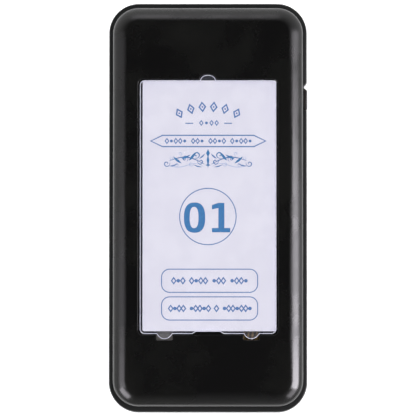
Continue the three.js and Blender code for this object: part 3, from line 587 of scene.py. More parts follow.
# %% The back plate with screw wells and sound slots
WELL, WELL_DEPTH, HOLE, POST, POST_TOP = 2.1, 3.0, 1.15, 2.7, 6.1
BOARD_POST, BOARD_POST_TOP, BOARD_HOLE, BOARD_HOLE_LOW = 2.2, 6.85, 0.95, 2.9
EDGE = 0.15
buzzer_low, buzzer_high = corners_of("buzzer")
buzzer_mid = ((buzzer_low + buzzer_high) / 2)[:2]
SOUND_PITCH, SOUND_HALF, SOUND_CORNER, SOUND_LONG, SOUND_SHORT = 2.0, 0.45, 0.44, 3.7, 2.5

wells = [circle(WELL, middle) for middle in bosses]
sound_slots = []
for step, half in zip((-2, -1, 0, 1, 2), (SOUND_SHORT, SOUND_LONG, SOUND_LONG, SOUND_LONG, SOUND_SHORT)):
    middle = buzzer_mid + [0, step * SOUND_PITCH]
    sound_slots.append(rounded_rectangle(half, SOUND_HALF, SOUND_CORNER, middle, 8))
board_posts = []
for name in ("board_screw_upper", "board_screw_lower"):
    low, high = corners_of(name)
    board_posts.append(circle(BOARD_POST, ((low + high) / 2)[:2], 32))

back_edge = grown(rear_outline, -REAR_ROLL)
flat_edge = grown(rear_outline, -REAR_ROLL - FLAT_RIM)
flat_rows = carried(rear_outline, [-REAR_ROLL, -REAR_ROLL - FLAT_RIM], [0, 0])
outside_holes = [grown(hole, EDGE + FLAT_RIM) for hole in wells + sound_slots]
inside_holes = [grown(well, POST - WELL) for well in wells] + [slot[0] for slot in sound_slots]
inside_holes += [post[0] for post in board_posts]
rear_patches += [
    grid(flat_rows),
    plate([flat_edge] + outside_holes, 0),
    plate([back_edge] + inside_holes, WALL),
]
edge_turn = np.linspace(0, QUARTER, 5)
edge_grow = np.concatenate([[EDGE + FLAT_RIM], EDGE * (1 - np.sin(edge_turn))])
edge_z = np.concatenate([[0], EDGE * (1 - np.cos(edge_turn))])
for well in wells:
    to_hole, to_post = HOLE - WELL, POST - WELL
    grow = [*edge_grow, 0, to_hole, to_hole, to_post, to_post]
    heights = [*edge_z, WELL_DEPTH, WELL_DEPTH, POST_TOP, POST_TOP, WALL]
    rear_patches.append(grid(carried(well, grow, heights)))
for slot in sound_slots:
    rear_patches.append(grid(carried(slot, [*edge_grow, 0], [*edge_z, WALL])))
for post in board_posts:
    inward = BOARD_HOLE - BOARD_POST
    rear_patches.append(
        grid(carried(post, [0, 0, inward, inward], [WALL, BOARD_POST_TOP, BOARD_POST_TOP, BOARD_HOLE_LOW]))
    )
    rear_patches.append(plate([grown(post, inward)], BOARD_HOLE_LOW))
make_piece("rear_shell", rear_patches, [black_abs], "root", ["rear_cover"])

# %% [markdown]
# ## Clear cover and card
# The cover is one flat plate. Its outline has a half-round tab to lift it by, two latch tabs that spring
# into the slots, and a notch for a finger-nail. Only its cut edge is rounded.
# %% Outline of the clear cover
COVER_CORNER, TAB_HALF = 1.3, 2.05
LATCH_BASE, LATCH_TIP, NAIL_BASE, NAIL_TIP, NAIL_DEPTH = 2.1, 1.0, 4.2, 3.25, 0.6


def latch_tab(x, count=17):
    """A latch tab from left to right: a cubic curve between the ends of its base, pulled down at its tip."""
    t = np.linspace(0, 1, count)[:, None]
    pull = cover_bottom_y - LATCH_REACH * 4 / 3
    ends = np.array([[x - LATCH_BASE, cover_bottom_y], [x + LATCH_BASE, cover_bottom_y]])
    pulls = np.array([[x - LATCH_TIP, pull], [x + LATCH_TIP, pull]])
    by_ends = (1 - t) ** 3 * ends[0] + t**3 * ends[1]
    by_pulls = 3 * (1 - t) ** 2 * t * pulls[0] + 3 * (1 - t) * t**2 * pulls[1]
    return by_ends + by_pulls


cx, r = cover_high[0], COVER_CORNER
nail = np.array(
    [
        [-NAIL_BASE, cover_bottom_y],
        [-NAIL_TIP, cover_bottom_y + NAIL_DEPTH],
        [NAIL_TIP, cover_bottom_y + NAIL_DEPTH],
        [NAIL_BASE, cover_bottom_y],
    ]
)
cover_outline = free_outline(
    np.vstack(
        [
            nail,
            latch_tab(SLOT_X),
            arc((cx - r, cover_bottom_y + r), r, r, 270, 360, 11),
            arc((cx - r, cover_top_y - r), r, r, 0, 90, 11),
            arc((0, cover_top_y), TAB_HALF, TAB_REACH, 0, 180, 33),
            arc((r - cx, cover_top_y - r), r, r, 90, 180, 11),
            arc((r - cx, cover_bottom_y + r), r, r, 180, 270, 11),
            latch_tab(-SLOT_X),
        ]
    )
)
print("clear cover", len(cover_outline[0]), "outline points")

# %% Build the clear cover and the card
CUT_ROUND, LOW_ROUND = 0.16, 0.06
turn = np.linspace(0, QUARTER, 7)
edge_grow = np.concatenate([-CUT_ROUND * (1 - np.sin(turn)), -LOW_ROUND * (1 - np.cos(turn))])
upper_z = cover_high[2] - CUT_ROUND * (1 - np.cos(turn))
lower_z = cover_low[2] + LOW_ROUND * (1 - np.sin(turn))
edge_z = np.concatenate([upper_z, lower_z])
top_rim, low_rim = [-CUT_ROUND - FLAT_RIM, -CUT_ROUND], [-LOW_ROUND, -LOW_ROUND - FLAT_RIM]
make_piece(
    "clear_plate",
    [
        plate([grown(cover_outline, top_rim[0])], cover_high[2]),
        grid(carried(cover_outline, top_rim, [cover_high[2]] * 2)),
        # finish 1 is the cut edge, painted near white as a highlight
        grid(carried(cover_outline, edge_grow, edge_z), finish=1),
        grid(carried(cover_outline, low_rim, [cover_low[2]] * 2)),
        plate([grown(cover_outline, low_rim[1])], cover_low[2]),
    ],
    [clear_acrylic, edge_painted_highlight],
    "cover",
    ["card_cover"],
)
card_mid = (card_low + card_high) / 2
card_half = card_high - card_mid
CARD_CORNER = 0.5
card_outline = rounded_rectangle(card_half[0], card_half[1], CARD_CORNER, card_mid[:2], steps=8)
CARD_BEVEL = 0.03
bevelled_edge = grown(card_outline, -CARD_BEVEL)
card_z = [card_high[2], card_high[2] - CARD_BEVEL, card_low[2] + CARD_BEVEL, card_low[2]]
make_piece(
    "number_card",
    [
        plate([bevelled_edge], card_high[2]),
        grid(carried(card_outline, [-CARD_BEVEL, 0, 0, -CARD_BEVEL], card_z)),
        plate([bevelled_edge], card_low[2]),
    ],
    [coated_card],
    "card",
    ["printed_card"],
)

# %% [markdown]
# ## The print
# The print is made of strokes and filled shapes, each a thin film just above the card, so the edges of the
# ink are as crisp as on the sheet. Words aren't printed here: plain ornaments keep the rhythm of the lines.
# Only the number stays, because it is what the guest is called by.
# %% Strokes and filled shapes
INK_GAP, INK_THICK = 0.004, 0.016
PRINT_X = -0.2  # the sheet was cut a little off centre, so the print lies left of the card's middle
FILM_STEP = 0.0001  # each film lies this much above the one before, so that crossing strokes share no plane
films_laid = itertools.count()


def film(loops, finish=0):
    """A closed thin film: the same flat plate at the top and at the bottom, and a wall round each loop.

    Loops are in millimetres from the middle of the print; x runs right and y runs up the card.
    """
    loops = [np.asarray(loop, float) + card_mid[:2] + [PRINT_X, 0] for loop in loops]
    low = card_high[2] + INK_GAP + next(films_laid) * FILM_STEP
    high = low + INK_THICK
    patches = [plate(loops, low, finish), plate(loops, high, finish)]
    for loop in loops:
        patches.append(grid(upright(loop, (low, high)), finish=finish))
    return patches


def stroke(points, width, finish=1):
    """A pen stroke: each point of the line moves half the width to its left and to its right."""
    points = np.asarray(points, float)
    along = np.gradient(points, axis=0)
    along /= np.linalg.norm(along, axis=1, keepdims=True)
    side = np.column_stack([-along[:, 1], along[:, 0]]) * np.broadcast_to(width, len(points))[:, None] / 2
    return film([np.vstack([points - side, (points + side)[::-1]])], finish)


def outlined(points, width, finish=1):
    """A closed line of even width: an anticlockwise loop grown by half the width, and shrunk by it."""
    loop = free_outline(points)
    return film([grown(loop, width / 2), grown(loop, -width / 2)], finish)


def lozenge(x, y, half_x, half_y, turn=0):
    """A lozenge's four corners, turned by an angle in degrees."""
    flat = np.array([[half_x, 0], [0, half_y], [-half_x, 0], [0, -half_y]])
    c, s = np.cos(np.radians(turn)), np.sin(np.radians(turn))
    return flat @ np.array([[c, s], [-s, c]]) + [x, y]


# %% The number in its ring
LINE = 0.255  # the ring and the two boxes are drawn with one line
RING_RADIUS, RING_X, RING_Y = 7.57, -0.23, -2.93
ZERO_X, ZERO_Y, ZERO_HALF_X, ZERO_HALF_Y, BOWL_HALF_X, BOWL_HALF_Y = -3.8, -3.22, 2.85, 4.06, 1.18, 2.85
BOWL_X, BOWL_Y = -3.93, -3.19
SQUARENESS = 2.5
ONE_LEFT, ONE_RIGHT, STEM_LEFT, STEM_RIGHT, FLAG_RIGHT = 0.85, 5.76, 2.59, 4.2, 2.54
ONE_LOW, FOOT_TOP, ONE_HIGH, FLAG_LOW, FLAG_HIGH, FLAG_ROOT = -7.17, -6.02, 0.73, -1.02, 0.16, -0.64


def squared(half_x, half_y, middle, power, count=64):
    """An ellipse squared up: each radius is stretched by a power of its sine and cosine."""
    offset, unit = circle(1, count=count)
    stretch = (np.abs(unit[:, 0]) ** power + np.abs(unit[:, 1]) ** power) ** (-1 / power)
    return np.array(middle) + offset * stretch[:, None] * [half_x, half_y]


one = [
    (STEM_RIGHT, ONE_HIGH),
    (FLAG_RIGHT, ONE_HIGH),
    (ONE_LEFT, FLAG_HIGH),
    (ONE_LEFT, FLAG_LOW),
    (STEM_LEFT, FLAG_ROOT),
    (STEM_LEFT, FOOT_TOP),
    (ONE_LEFT, FOOT_TOP),
    (ONE_LEFT, ONE_LOW),
    (ONE_RIGHT, ONE_LOW),
    (ONE_RIGHT, FOOT_TOP),
    (STEM_RIGHT, FOOT_TOP),
]
ink = outlined(circle(RING_RADIUS, (RING_X, RING_Y), 96)[0], LINE)
zero = squared(ZERO_HALF_X, ZERO_HALF_Y, (ZERO_X, ZERO_Y), SQUARENESS)
bowl = squared(BOWL_HALF_X, BOWL_HALF_Y, (BOWL_X, BOWL_Y), SQUARENESS)
ink += film([zero, bowl], 0)
ink += film([one], 0)

# %% The banner, the two round-ended boxes and the ornaments that stand for words
BANNER_X, BANNER_Y, BANNER_HALF_X, BANNER_FLAT_X, BANNER_HALF_Y = -0.15, 17.38, 15.42, 12.25, 1.52
BANNER_LINE, DASH_Y, DASH_LINE, GROUP_GAP = 0.31, 22.15, 0.27, 0.9
BOX_X, BOX_HALF_X, BOX_HALF_Y, BOX_CORNER = 0.23, 12.87, 3.11, 2.15
BOX_YS = (-20.17, -27.6)
ARCH_X, ARCH_Y, ARCH_RADIUS, ARCH_DEGREES = -0.2, 9.03, 17.59, (-26, -15.2, -5, 5, 15.2, 26)

upper_half = [(BANNER_HALF_X, 0), (BANNER_FLAT_X, BANNER_HALF_Y), (-BANNER_FLAT_X, BANNER_HALF_Y)]
banner = np.vstack([upper_half, -np.array(upper_half)]) + [BANNER_X, BANNER_Y]
ink += outlined(banner, BANNER_LINE)
for y in BOX_YS:
    ink += outlined(rounded_rectangle(BOX_HALF_X, BOX_HALF_Y, BOX_CORNER, (BOX_X, y), steps=8)[0], LINE)


def ornaments(start, end, y, groups, size):
    """A line of small lozenges and dots, in groups with a gap between, spread from start to end."""
    places = np.concatenate([np.arange(n) + sum(groups[:k]) + k * GROUP_GAP for k, n in enumerate(groups)])
    xs = start + size / 2 + places / places.max() * (end - start - size)
    patches = []
    for index, x in enumerate(xs):
        if index % 3 == 1:
            patches += film([circle(size * 0.3, (x, y), 16)[0]], 1)
        else:
            patches += outlined(lozenge(x, y, size * 0.36, size * 0.5), size * 0.2)
    return patches


ink += ornaments(-11.88, 11.75, BANNER_Y, [5, 3, 4, 5], 1.32)
ink += ornaments(-10.2, 10.76, BOX_YS[0], [3, 4, 3, 4], 1.61)
ink += ornaments(-11.0, 11.83, BOX_YS[1], [4, 5, 1, 7], 1.61)
ink += ornaments(-2.62, 2.75, 22.24, [4], 1.24)
for left, right in ((-6.27, -4.18), (4.15, 6.27)):
    ink += stroke([(left, DASH_Y), (right, DASH_Y)], DASH_LINE)
for degrees in ARCH_DEGREES:
    lean = np.radians(degrees)
    x, y = ARCH_X + ARCH_RADIUS * np.sin(lean), ARCH_Y + ARCH_RADIUS * np.cos(lean)
    ink += outlined(lozenge(x, y, 0.83, 1.18, -degrees), 0.38)
    ink += film([circle(0.24, (x, y), 16)[0]], 1)

# %% [markdown]
# The flourish is a plain one of its own: an upright spindle, and on each side a long wave with a pale echo
# under it, curls and leaves. A curl is a spiral whose radius shrinks as it turns, and a leaf is a stroke
# that swells and closes.
# %% The flourish
FLOURISH_X = -0.2
DEEP, MIDDLE, PALE = 0, 1, 2  # the three strengths of the ink
CURL_STEPS, LEAF_STEPS, WAVE_STEPS = 40, 14, 48
swell = 0.094 + 0.2 * np.sin(np.pi * np.linspace(0, 1, CURL_STEPS))


def curl(x, y, radius, start, turns, mirror):
    """A spiral from its outside in: the radius falls evenly from full to a fifth while the angle runs on."""
    t = np.linspace(0, 1, CURL_STEPS)
    angle = np.radians(start) + turns * 2 * np.pi * t
    reach = radius * (1 - 0.8 * t)
    return np.column_stack([FLOURISH_X + mirror * (x + reach * np.cos(angle)), y + reach * np.sin(angle)])


def leaf(x0, y0, x1, y1, width, mirror, finish):
    """A leaf between two points: its width swells as a half wave, and it sags a little in its middle."""
    t = np.linspace(0, 1, LEAF_STEPS)
    line = np.column_stack([x0 + (x1 - x0) * t, y0 + (y1 - y0) * t - 0.13 * np.sin(np.pi * t)])
    return stroke(line * [mirror, 1] + [FLOURISH_X, 0], 0.04 + width * np.sin(np.pi * t), finish)


curls = [  # middle x and y, radius, start in degrees, turns, weight, ink
    (3.09, 13.65, 0.97, -60, -1.2, 1.1, DEEP),
    (1.99, 11.82, 0.86, 40, -1.2, 0.9, MIDDLE),
    (6.18, 12.63, 0.91, -120, -1.2, 0.9, MIDDLE),
    (4.57, 11.18, 0.7, -200, 1.1, 0.7, PALE),
    (8.46, 11.02, 0.67, -20, -1.1, 0.7, PALE),
    (7.52, 13.92, 0.59, -90, -1.0, 0.7, PALE),
    (11.09, 11.28, 0.91, -200, 1.2, 0.9, MIDDLE),
    (9.72, 12.73, 0.54, -300, -1.0, 0.7, PALE),
]
leaves = [  # from x and y to x and y, width, ink
    (3.36, 14.34, 5.1, 12.14, 0.62, DEEP),
    (4.7, 13.7, 7.12, 12.57, 0.46, DEEP),
    (9.35, 13.22, 7.12, 11.39, 0.54, DEEP),
    (8.06, 11.23, 10.34, 10.64, 0.3, MIDDLE),
    (2.36, 12.63, 0.81, 13.97, 0.35, MIDDLE),
    (3.89, 11.01, 1.61, 10.37, 0.27, MIDDLE),
]
t = np.linspace(0, 1, WAVE_STEPS)
half_wave = np.sin(np.pi * t)
for mirror in (-1, 1):
    wave = np.column_stack([FLOURISH_X + mirror * (0.94 + 9.4 * t), 11.12 + 1.4 * half_wave + 0.94 * t])
    echo_y = 10.53 + 0.97 * np.sin(2 * np.pi * t) * (1 - t) + 0.16 * t
    echo = np.column_stack([FLOURISH_X + mirror * (1.21 + 10.21 * t), echo_y])
    ink += stroke(wave, 0.107 + 0.215 * half_wave, MIDDLE)
    ink += stroke(echo, 0.08 + 0.107 * half_wave, PALE)
    for x, y, radius, start, turns, weight, finish in curls:
        ink += stroke(curl(x, y, radius, start, turns, mirror), swell * weight, finish)
    for x0, y0, x1, y1, width, finish in leaves:
        ink += leaf(x0, y0, x1, y1, width, mirror, finish)
bud = np.array([(0, 13.0), (0.51, 14.08), (0, 15.26), (-0.51, 14.08)])
spindle = np.array([(0, 10.05), (0.35, 12.25), (0, 13.86), (-0.35, 12.25)])
ink += film([bud + [FLOURISH_X, 0]], DEEP)
ink += film([spindle + [FLOURISH_X, 0]], DEEP)
ink += film([lozenge(FLOURISH_X, 10.91, 0.7, 0.3)], DEEP)
headroom = float(cover_low[2] - card_high[2])
print("print films", next(films_laid), "under a cover that stands", round(headroom, 3), "mm above the card")
make_piece("card_print", ink, [blue_ink, blue_ink_thin, blue_ink_pale], "card")

# %% [markdown]
# ## Key, screws and contacts
# The key is a short bar with round edges that stands in the scoop. It is a stack of rounded rectangles
# carried out of the wall, on the flange that holds it in.
# %% Blocks carried along x
def turned_to_x(patch):
    """Turns a patch made along z so that its z runs along x: x, y, z become z, x, y."""
    points, faces, finish = patch
    return points[:, [2, 0, 1]], faces, finish


BAR_ROUND, LOW_BEVEL, FLANGE, BAR_CORNER, FLANGE_CORNER = 0.45, 0.3, 0.8, 0.6, 0.4
bar_y, bar_z = key_half_y - KEY_GAP, key_half_z - KEY_GAP
turn = np.linspace(0, QUARTER, 7)
outer = key_high[0]
flange_x = key_low[0] + FLANGE
bar_outline = rounded_rectangle(bar_y, bar_z, BAR_CORNER, key_mid[1:], steps=8)
flange_half = (key_half_y + KEY_LIP, key_half_z + KEY_LIP)
flange_outline = rounded_rectangle(*flange_half, FLANGE_CORNER, key_mid[1:], steps=8)
bar_grow = np.concatenate([[0, 0], -BAR_ROUND * (1 - np.cos(turn))])
bar_x = np.concatenate([[flange_x, scoop_x], outer - BAR_ROUND + BAR_ROUND * np.sin(turn)])


def bevelled(points):
    """The bar with its two bevels: y is held under a 45 degree slope at the top end and over one below."""
    held = points.copy()
    top = key_mid[1] + bar_y - np.maximum(0, points[..., 2] - scoop_x)
    low = key_mid[1] - bar_y + np.maximum(0, points[..., 2] - (outer - LOW_BEVEL))
    held[..., 0] = np.clip(points[..., 0], low, top)
    return held


bar = bevelled(carried(bar_outline, bar_grow, bar_x))
key_patches = [
    grid(bar),
    plate([bar[-1][:, :2]], outer),
    plate([flange_outline[0], bar_outline[0]], flange_x),
    grid(carried(flange_outline, [0, 0], [key_low[0], flange_x])),
    plate([flange_outline[0]], key_low[0]),
]
key_patches = [turned_to_x(patch) for patch in key_patches]
make_piece("press_key", key_patches, [brown_black_abs], "key", ["power_key"])

# %% [markdown]
# ## Metals and inner parts
# Metal finishes keep the default index and get their look from how rough they are and which way they were
# worked.
# %% Finishes of metal
# Nickel-plated steel, turned: fine rings, bright with a soft streak.
screw_steel = mottled(
    "nickel_plated_steel_turned", "#c4c5c9", "#aeb0b5",
    patch_mm=1.5, rough=(0.22, 0.34), grain_mm=0.2, grain_height_mm=0.002, Metallic=1.0,
)
# Brass strip with a thin gold plate, stamped: warm and smooth, dulled where the charger's pins rub it.
gold_strip = mottled(
    "gold_plated_brass_stamped", "#d9b368", "#c39a4c",
    patch_mm=1.2, rough=(0.2, 0.4), grain_mm=(0.1, 0.1, 0.8), grain_height_mm=0.001, Metallic=1.0,
)
# Plated copper wire, wound close on a mandrel: brown-gold.
coil_wire = mottled(
    "plated_copper_wire_wound", "#a68a60", "#7c6748",
    patch_mm=1.0, rough=(0.4, 0.55), grain_mm=0.15, grain_height_mm=0.001, Metallic=0.5,
)
# Drawn steel can, zinc plated and dull: its grain runs along the draw, and the plating scatters light.
drawn_steel = mottled(
    "drawn_steel_can_dull_zinc", "#959290", "#827f7d",
    patch_mm=2.0, rough=(0.55, 0.7), grain_mm=(1.5, 0.1, 0.1), grain_height_mm=0.002, Metallic=0.3,
)
# Tinned steel lid, pressed: pale and even.
tinned_steel = mottled(
    "tinned_steel_pressed", "#c6c8cb", "#b2b4b8",
    patch_mm=2.0, rough=(0.28, 0.4), grain_mm=0.3, grain_height_mm=0.001, Metallic=1.0,
)
# Tungsten alloy, sintered: dark grey with a sandy skin.
tungsten_alloy = mottled(
    "tungsten_alloy_sintered", "#7b7c7e", "#636466",
    patch_mm=0.8, rough=(0.45, 0.6), grain_mm=0.12, grain_height_mm=0.006, Metallic=1.0,
)
print("metal finishes made")

# %% Finishes of the inner parts
board_mask = mottled(
    "glass_epoxy_green_solder_mask", "#1c5f3a", "#124a2b",
    patch_mm=6, rough=(0.3, 0.42), grain_mm=(0.6, 0.6, 0.6), grain_height_mm=0.006, IOR=1.5,
)
black_epoxy = mottled(
    "black_epoxy_transfer_moulded", "#202124", "#151618",
    patch_mm=1.5, rough=(0.5, 0.62), grain_mm=0.12, grain_height_mm=0.004, IOR=1.55,
)
ferrite = mottled(
    "ferrite_sintered", "#46423e", "#35322f",
    patch_mm=1.0, rough=(0.55, 0.7), grain_mm=0.15, grain_height_mm=0.006, IOR=1.9,
)
tantalum = mottled(
    "yellow_epoxy_moulded", "#c9a445", "#b58f34",
    patch_mm=1.5, rough=(0.4, 0.5), grain_mm=0.15, grain_height_mm=0.003, IOR=1.55,
)
foil_pouch = mottled(
    "aluminium_foil_laminate_pouch", "#c2c4c7", "#abadb1",
    patch_mm=6, rough=(0.3, 0.42), grain_mm=1.2, grain_height_mm=0.03, Metallic=0.8,
)
amber_tape = mottled(
    "amber_polyimide_tape", "#b5792a", "#9a611c",
    patch_mm=3, rough=(0.18, 0.3), grain_mm=2.0, grain_height_mm=0.02, IOR=1.7,
)
foam_tape = mottled(
    "white_foam_tape", "#f0efec", "#dddcd7",
    patch_mm=0.6, rough=(0.8, 0.95), grain_mm=0.3, grain_height_mm=0.03, IOR=1.4,
)
white_nylon = mottled(
    "natural_nylon_moulded", "#ece6d8", "#ded7c6",
    patch_mm=2, rough=(0.4, 0.5), grain_mm=0.3, grain_height_mm=0.003, IOR=1.53,
)
lamp_white = mottled(
    "white_lamp_frame_moulded", "#f2efe4", "#e6e1d0",
    patch_mm=1.0, rough=(0.3, 0.45), grain_mm=0.15, grain_height_mm=0.002, IOR=1.55,
)
red_pvc = mottled(
    "red_pvc_extruded", "#b32420", "#96191a",
    patch_mm=1.5, rough=(0.35, 0.48), grain_mm=0.2, grain_height_mm=0.003, IOR=1.54,
)
black_pvc = mottled(
    "black_pvc_extruded", "#1b1b1e", "#121215",
    patch_mm=1.5, rough=(0.35, 0.48), grain_mm=0.2, grain_height_mm=0.003, IOR=1.54,
)
blue_pvc = mottled(
    "blue_pvc_extruded", "#2a4a9c", "#1f3a82",
    patch_mm=1.5, rough=(0.35, 0.48), grain_mm=0.2, grain_height_mm=0.003, IOR=1.54,
)
print("inner finishes made")

# %% Screws seen in the back
HEAD_RADIUS, HEAD_HEIGHT, SHANK, SHANK_LENGTH = 1.8, 1.3, 0.85, 7.6
CROSS_HALF, CROSS_ARM, CROSS_DEPTH, CROSS_TAPER = 0.99, 0.25, 0.78, 0.8
BLUNT = 0.2  # the point of the shank is this share of its radius


def cross_outline(half, arm, count):
    """A cross as reach against angle: along each arm the reach is bounded by the arm's end and its side."""
    turn = np.arange(count) * 2 * np.pi / count
    c, s = np.abs(np.cos(turn)), np.abs(np.sin(turn))
    along_x = np.minimum(half / np.maximum(c, 1e-6), arm / np.maximum(s, 1e-6))
    along_y = np.minimum(half / np.maximum(s, 1e-6), arm / np.maximum(c, 1e-6))
    reach = np.maximum(along_x, along_y)
    return np.column_stack([reach * np.cos(turn), reach * np.sin(turn)])


def screw_patches(middle, seat, count=96):
    """A pan-head screw, head down: a cross recess, a domed head, and a shank that ends in a cone."""
    rim = circle(1, count=count)[0]
    cross = cross_outline(CROSS_HALF, CROSS_ARM, count)
    share = np.linspace(0, 1, 9)[:, None, None]
    plan = cross[None] * (1 - share) + rim[None] * HEAD_RADIUS * share
    reach = np.linalg.norm(plan, axis=-1) / HEAD_RADIUS
    drop = -HEAD_HEIGHT * (0.5 + 0.5 * np.sqrt(np.maximum(0, 1 - reach**3)))
    dome = np.concatenate([plan, drop[..., None]], -1)
    floor_z = CROSS_DEPTH - HEAD_HEIGHT
    recess = np.concatenate([upright(cross * CROSS_TAPER, [floor_z]), dome[:1]])
    sides = [(HEAD_RADIUS, 0), (SHANK, 0), (SHANK, SHANK_LENGTH - SHANK), (SHANK * BLUNT, SHANK_LENGTH)]
    lathe = np.concatenate([dome[-1:]] + [upright(rim * radius, [z]) for radius, z in sides])
    patches = [grid(recess), grid(dome), grid(lathe)]
    patches += [plate([cross * CROSS_TAPER], floor_z), plate([rim * SHANK * BLUNT], SHANK_LENGTH)]
    shift = np.array([middle[0], middle[1], seat])
    return [(points + shift, faces, finish) for points, faces, finish in patches]


for row in ("upper", "lower"):
    for side in ("right", "left"):
        node = f"case_screw_{row}_{side}"
        low, high = corners_of(node)
        patches = screw_patches(((low + high) / 2)[:2], low[2] + HEAD_HEIGHT)
        make_piece(f"pan_screw_{row}_{side}", patches, [screw_steel], "root", [node])

# %% Motor can and aerial coil, seen down the latch slots
can_low, can_high = corners_of("motor_can")
can_mid, can_radius = (can_low + can_high) / 2, (can_high[2] - can_low[2]) / 2
CAN_ROUND, BORE, BORE_DEPTH = 0.35, 0.7, 3.0
turn = np.linspace(0, QUARTER, 6)
can_outline = circle(can_radius, can_mid[1:], 64)
to_bore, bore_end = BORE - can_radius, can_high[0] - BORE_DEPTH
can_grow = [to_bore, to_bore, *(-CAN_ROUND * (1 - np.sin(turn))), 0]
can_x = [bore_end, can_high[0], *(can_high[0] - CAN_ROUND * (1 - np.cos(turn))), can_low[0]]
can_patches = [
    grid(carried(can_outline, can_grow, can_x)),
    plate([grown(can_outline, to_bore)], bore_end),
    plate([can_outline[0]], can_low[0]),
]
can_patches = [turned_to_x(patch) for patch in can_patches]
make_piece("motor_can_drawn", can_patches, [drawn_steel], "root", ["motor_can"])

# %% [markdown]
# The aerial is a close coil of stiff wire. Its middle line is a helix that runs out over the board to a
# pad, and the wire is a circle carried along it on a frame that stays square to the line.
# %% Wire along a line
NEVER_ALONG = [1.0, 0.02, 0.0]  # a direction that this wire never takes


def wire(points, radius, sides=10):
    """A round wire: at each point a circle in the plane of two vectors square to the line and each other."""
    along = np.gradient(points, axis=0)
    along /= np.linalg.norm(along, axis=1, keepdims=True)
    side = np.cross(along, NEVER_ALONG)
    side /= np.linalg.norm(side, axis=1, keepdims=True)
    up = np.cross(side, along)
    turn = (np.arange(sides) * 2 * np.pi / sides)[None, :, None]
    skin = points[:, None] + radius * (np.cos(turn) * side[:, None] + np.sin(turn) * up[:, None])
    ends = [(skin[k], [list(range(sides))], 0) for k in (0, -1)]
    return [grid(skin)] + ends


AERIAL_WIRE, AERIAL_RADIUS, AERIAL_TURNS, AERIAL_LENGTH, STEPS_A_TURN = 0.35, 1.9, 9, 11, 28
PAD_SIDE, PAD_Z = 1.1, 8.5  # where the wire ends: off the coil's middle line, and above the back
aerial_low, aerial_high = corners_of("aerial_coil")
aerial_y = aerial_low[1] + AERIAL_RADIUS + AERIAL_WIRE
aerial_z = aerial_high[2] - AERIAL_RADIUS - AERIAL_WIRE
coil_turn = np.linspace(0, AERIAL_TURNS, AERIAL_TURNS * STEPS_A_TURN + 1)
coil_start, coil_length = aerial_low[0] + AERIAL_WIRE, AERIAL_LENGTH - 2 * AERIAL_WIRE
helix = np.column_stack(
    [
        coil_start + coil_length * coil_turn / AERIAL_TURNS,
        aerial_y + AERIAL_RADIUS * np.sin(2 * np.pi * coil_turn),
        aerial_z + AERIAL_RADIUS * np.cos(2 * np.pi * coil_turn),
    ]
)
tail_end = np.array([aerial_high[0] - AERIAL_WIRE, aerial_y + PAD_SIDE, PAD_Z])
s = np.linspace(0, 1, 16)[1:, None]
ease = s * s * (3 - 2 * s)
tail = helix[-1] * (1 - s) + tail_end * s
tail[:, 2:] = helix[-1, 2] * (1 - ease) + tail_end[2] * ease
aerial = wire(np.vstack([helix, tail]), AERIAL_WIRE)
make_piece("aerial_wire_coil", aerial, [coil_wire], "root", ["aerial_coil"])

# %% [markdown]
# ## Parts that keep their CAD shape
# The parts under the board and the board itself are plain shapes already. They keep their CAD meshes, and
# each gets the finish of the real one.
# %% Give every other node its finish
finishes = {
    "rear_cover": black_abs,
    "front_housing": smoked_polycarbonate,
    "card_cover": clear_acrylic,
    "printed_card": coated_card,
    "power_key": brown_black_abs,
    "switch_plunger": white_nylon,
    "main_board": board_mask,
    "crystal_can": tinned_steel,
    "charger_inductor": ferrite,
    "aerial_coil": coil_wire,
    "battery_cell": foil_pouch,
    "cell_circuit": amber_tape,
    "cell_pad": foam_tape,
    "battery_lead_red": red_pvc,
    "battery_lead_black": black_pvc,
    "battery_plug": white_nylon,
    "battery_socket": white_nylon,
    "motor_can": drawn_steel,
    "motor_endcap": white_nylon,
    "motor_shaft": drawn_steel,
    "motor_weight": tungsten_alloy,
    "motor_lead_red": red_pvc,
    "motor_lead_blue": blue_pvc,
}
families = {
    "case_screw": screw_steel,
    "board_screw": screw_steel,
    "charging_contact": gold_strip,
    "filter_capacitor": tantalum,
    "lamp": lamp_white,
}
for name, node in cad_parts.items():
    family = next((finish for stem, finish in families.items() if name.startswith(stem)), black_epoxy)
    finish = finishes.get(name, family)
    node.data.materials.clear()
    node.data.materials.append(finish)
print("finished", len(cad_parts), "CAD nodes")

# %% [markdown]
# ## Floor, light and camera
# The pager lies on a plain pale floor in soft light: a pale horizon all round, brighter at the far side,
# and a dark ceiling so that the flat black face stays black. A large softbox overhead gives the card its
# light; it is cross-polarised, as when a glossy print is copied, so gloss doesn't show it. Small softboxes
# all round draw the streaks on the rolled edge, the strongest on the right.
# %% Floor
FLOOR_HALF = 2.5
FLOOR_GAP = 0.05 * MM  # keeps the back off the floor's plane
floor_mesh = bpy.data.meshes.new("pale_floor")
floor_corners = [(x * FLOOR_HALF, y * FLOOR_HALF, 0) for x, y in ((-1, -1), (1, -1), (1, 1), (-1, 1))]
floor_mesh.from_pydata(floor_corners, [], [(0, 1, 2, 3)])
floor = bpy.data.objects.new("pale_floor", floor_mesh)
bpy.context.scene.collection.objects.link(floor)
floor.location.z = -FLOOR_GAP
sweep_glow = {"Emission Color": (1, 1, 1, 1), "Emission Strength": 0.5, "Specular IOR Level": 0.0}
floor_paint = mottled(
    "matt_white_lit_sweep", "#fbfbfc", "#f7f7f9",
    patch_mm=60, rough=(0.85, 0.95), grain_mm=2, grain_height_mm=0.002, **sweep_glow,
)
floor_mesh.materials.append(floor_paint)

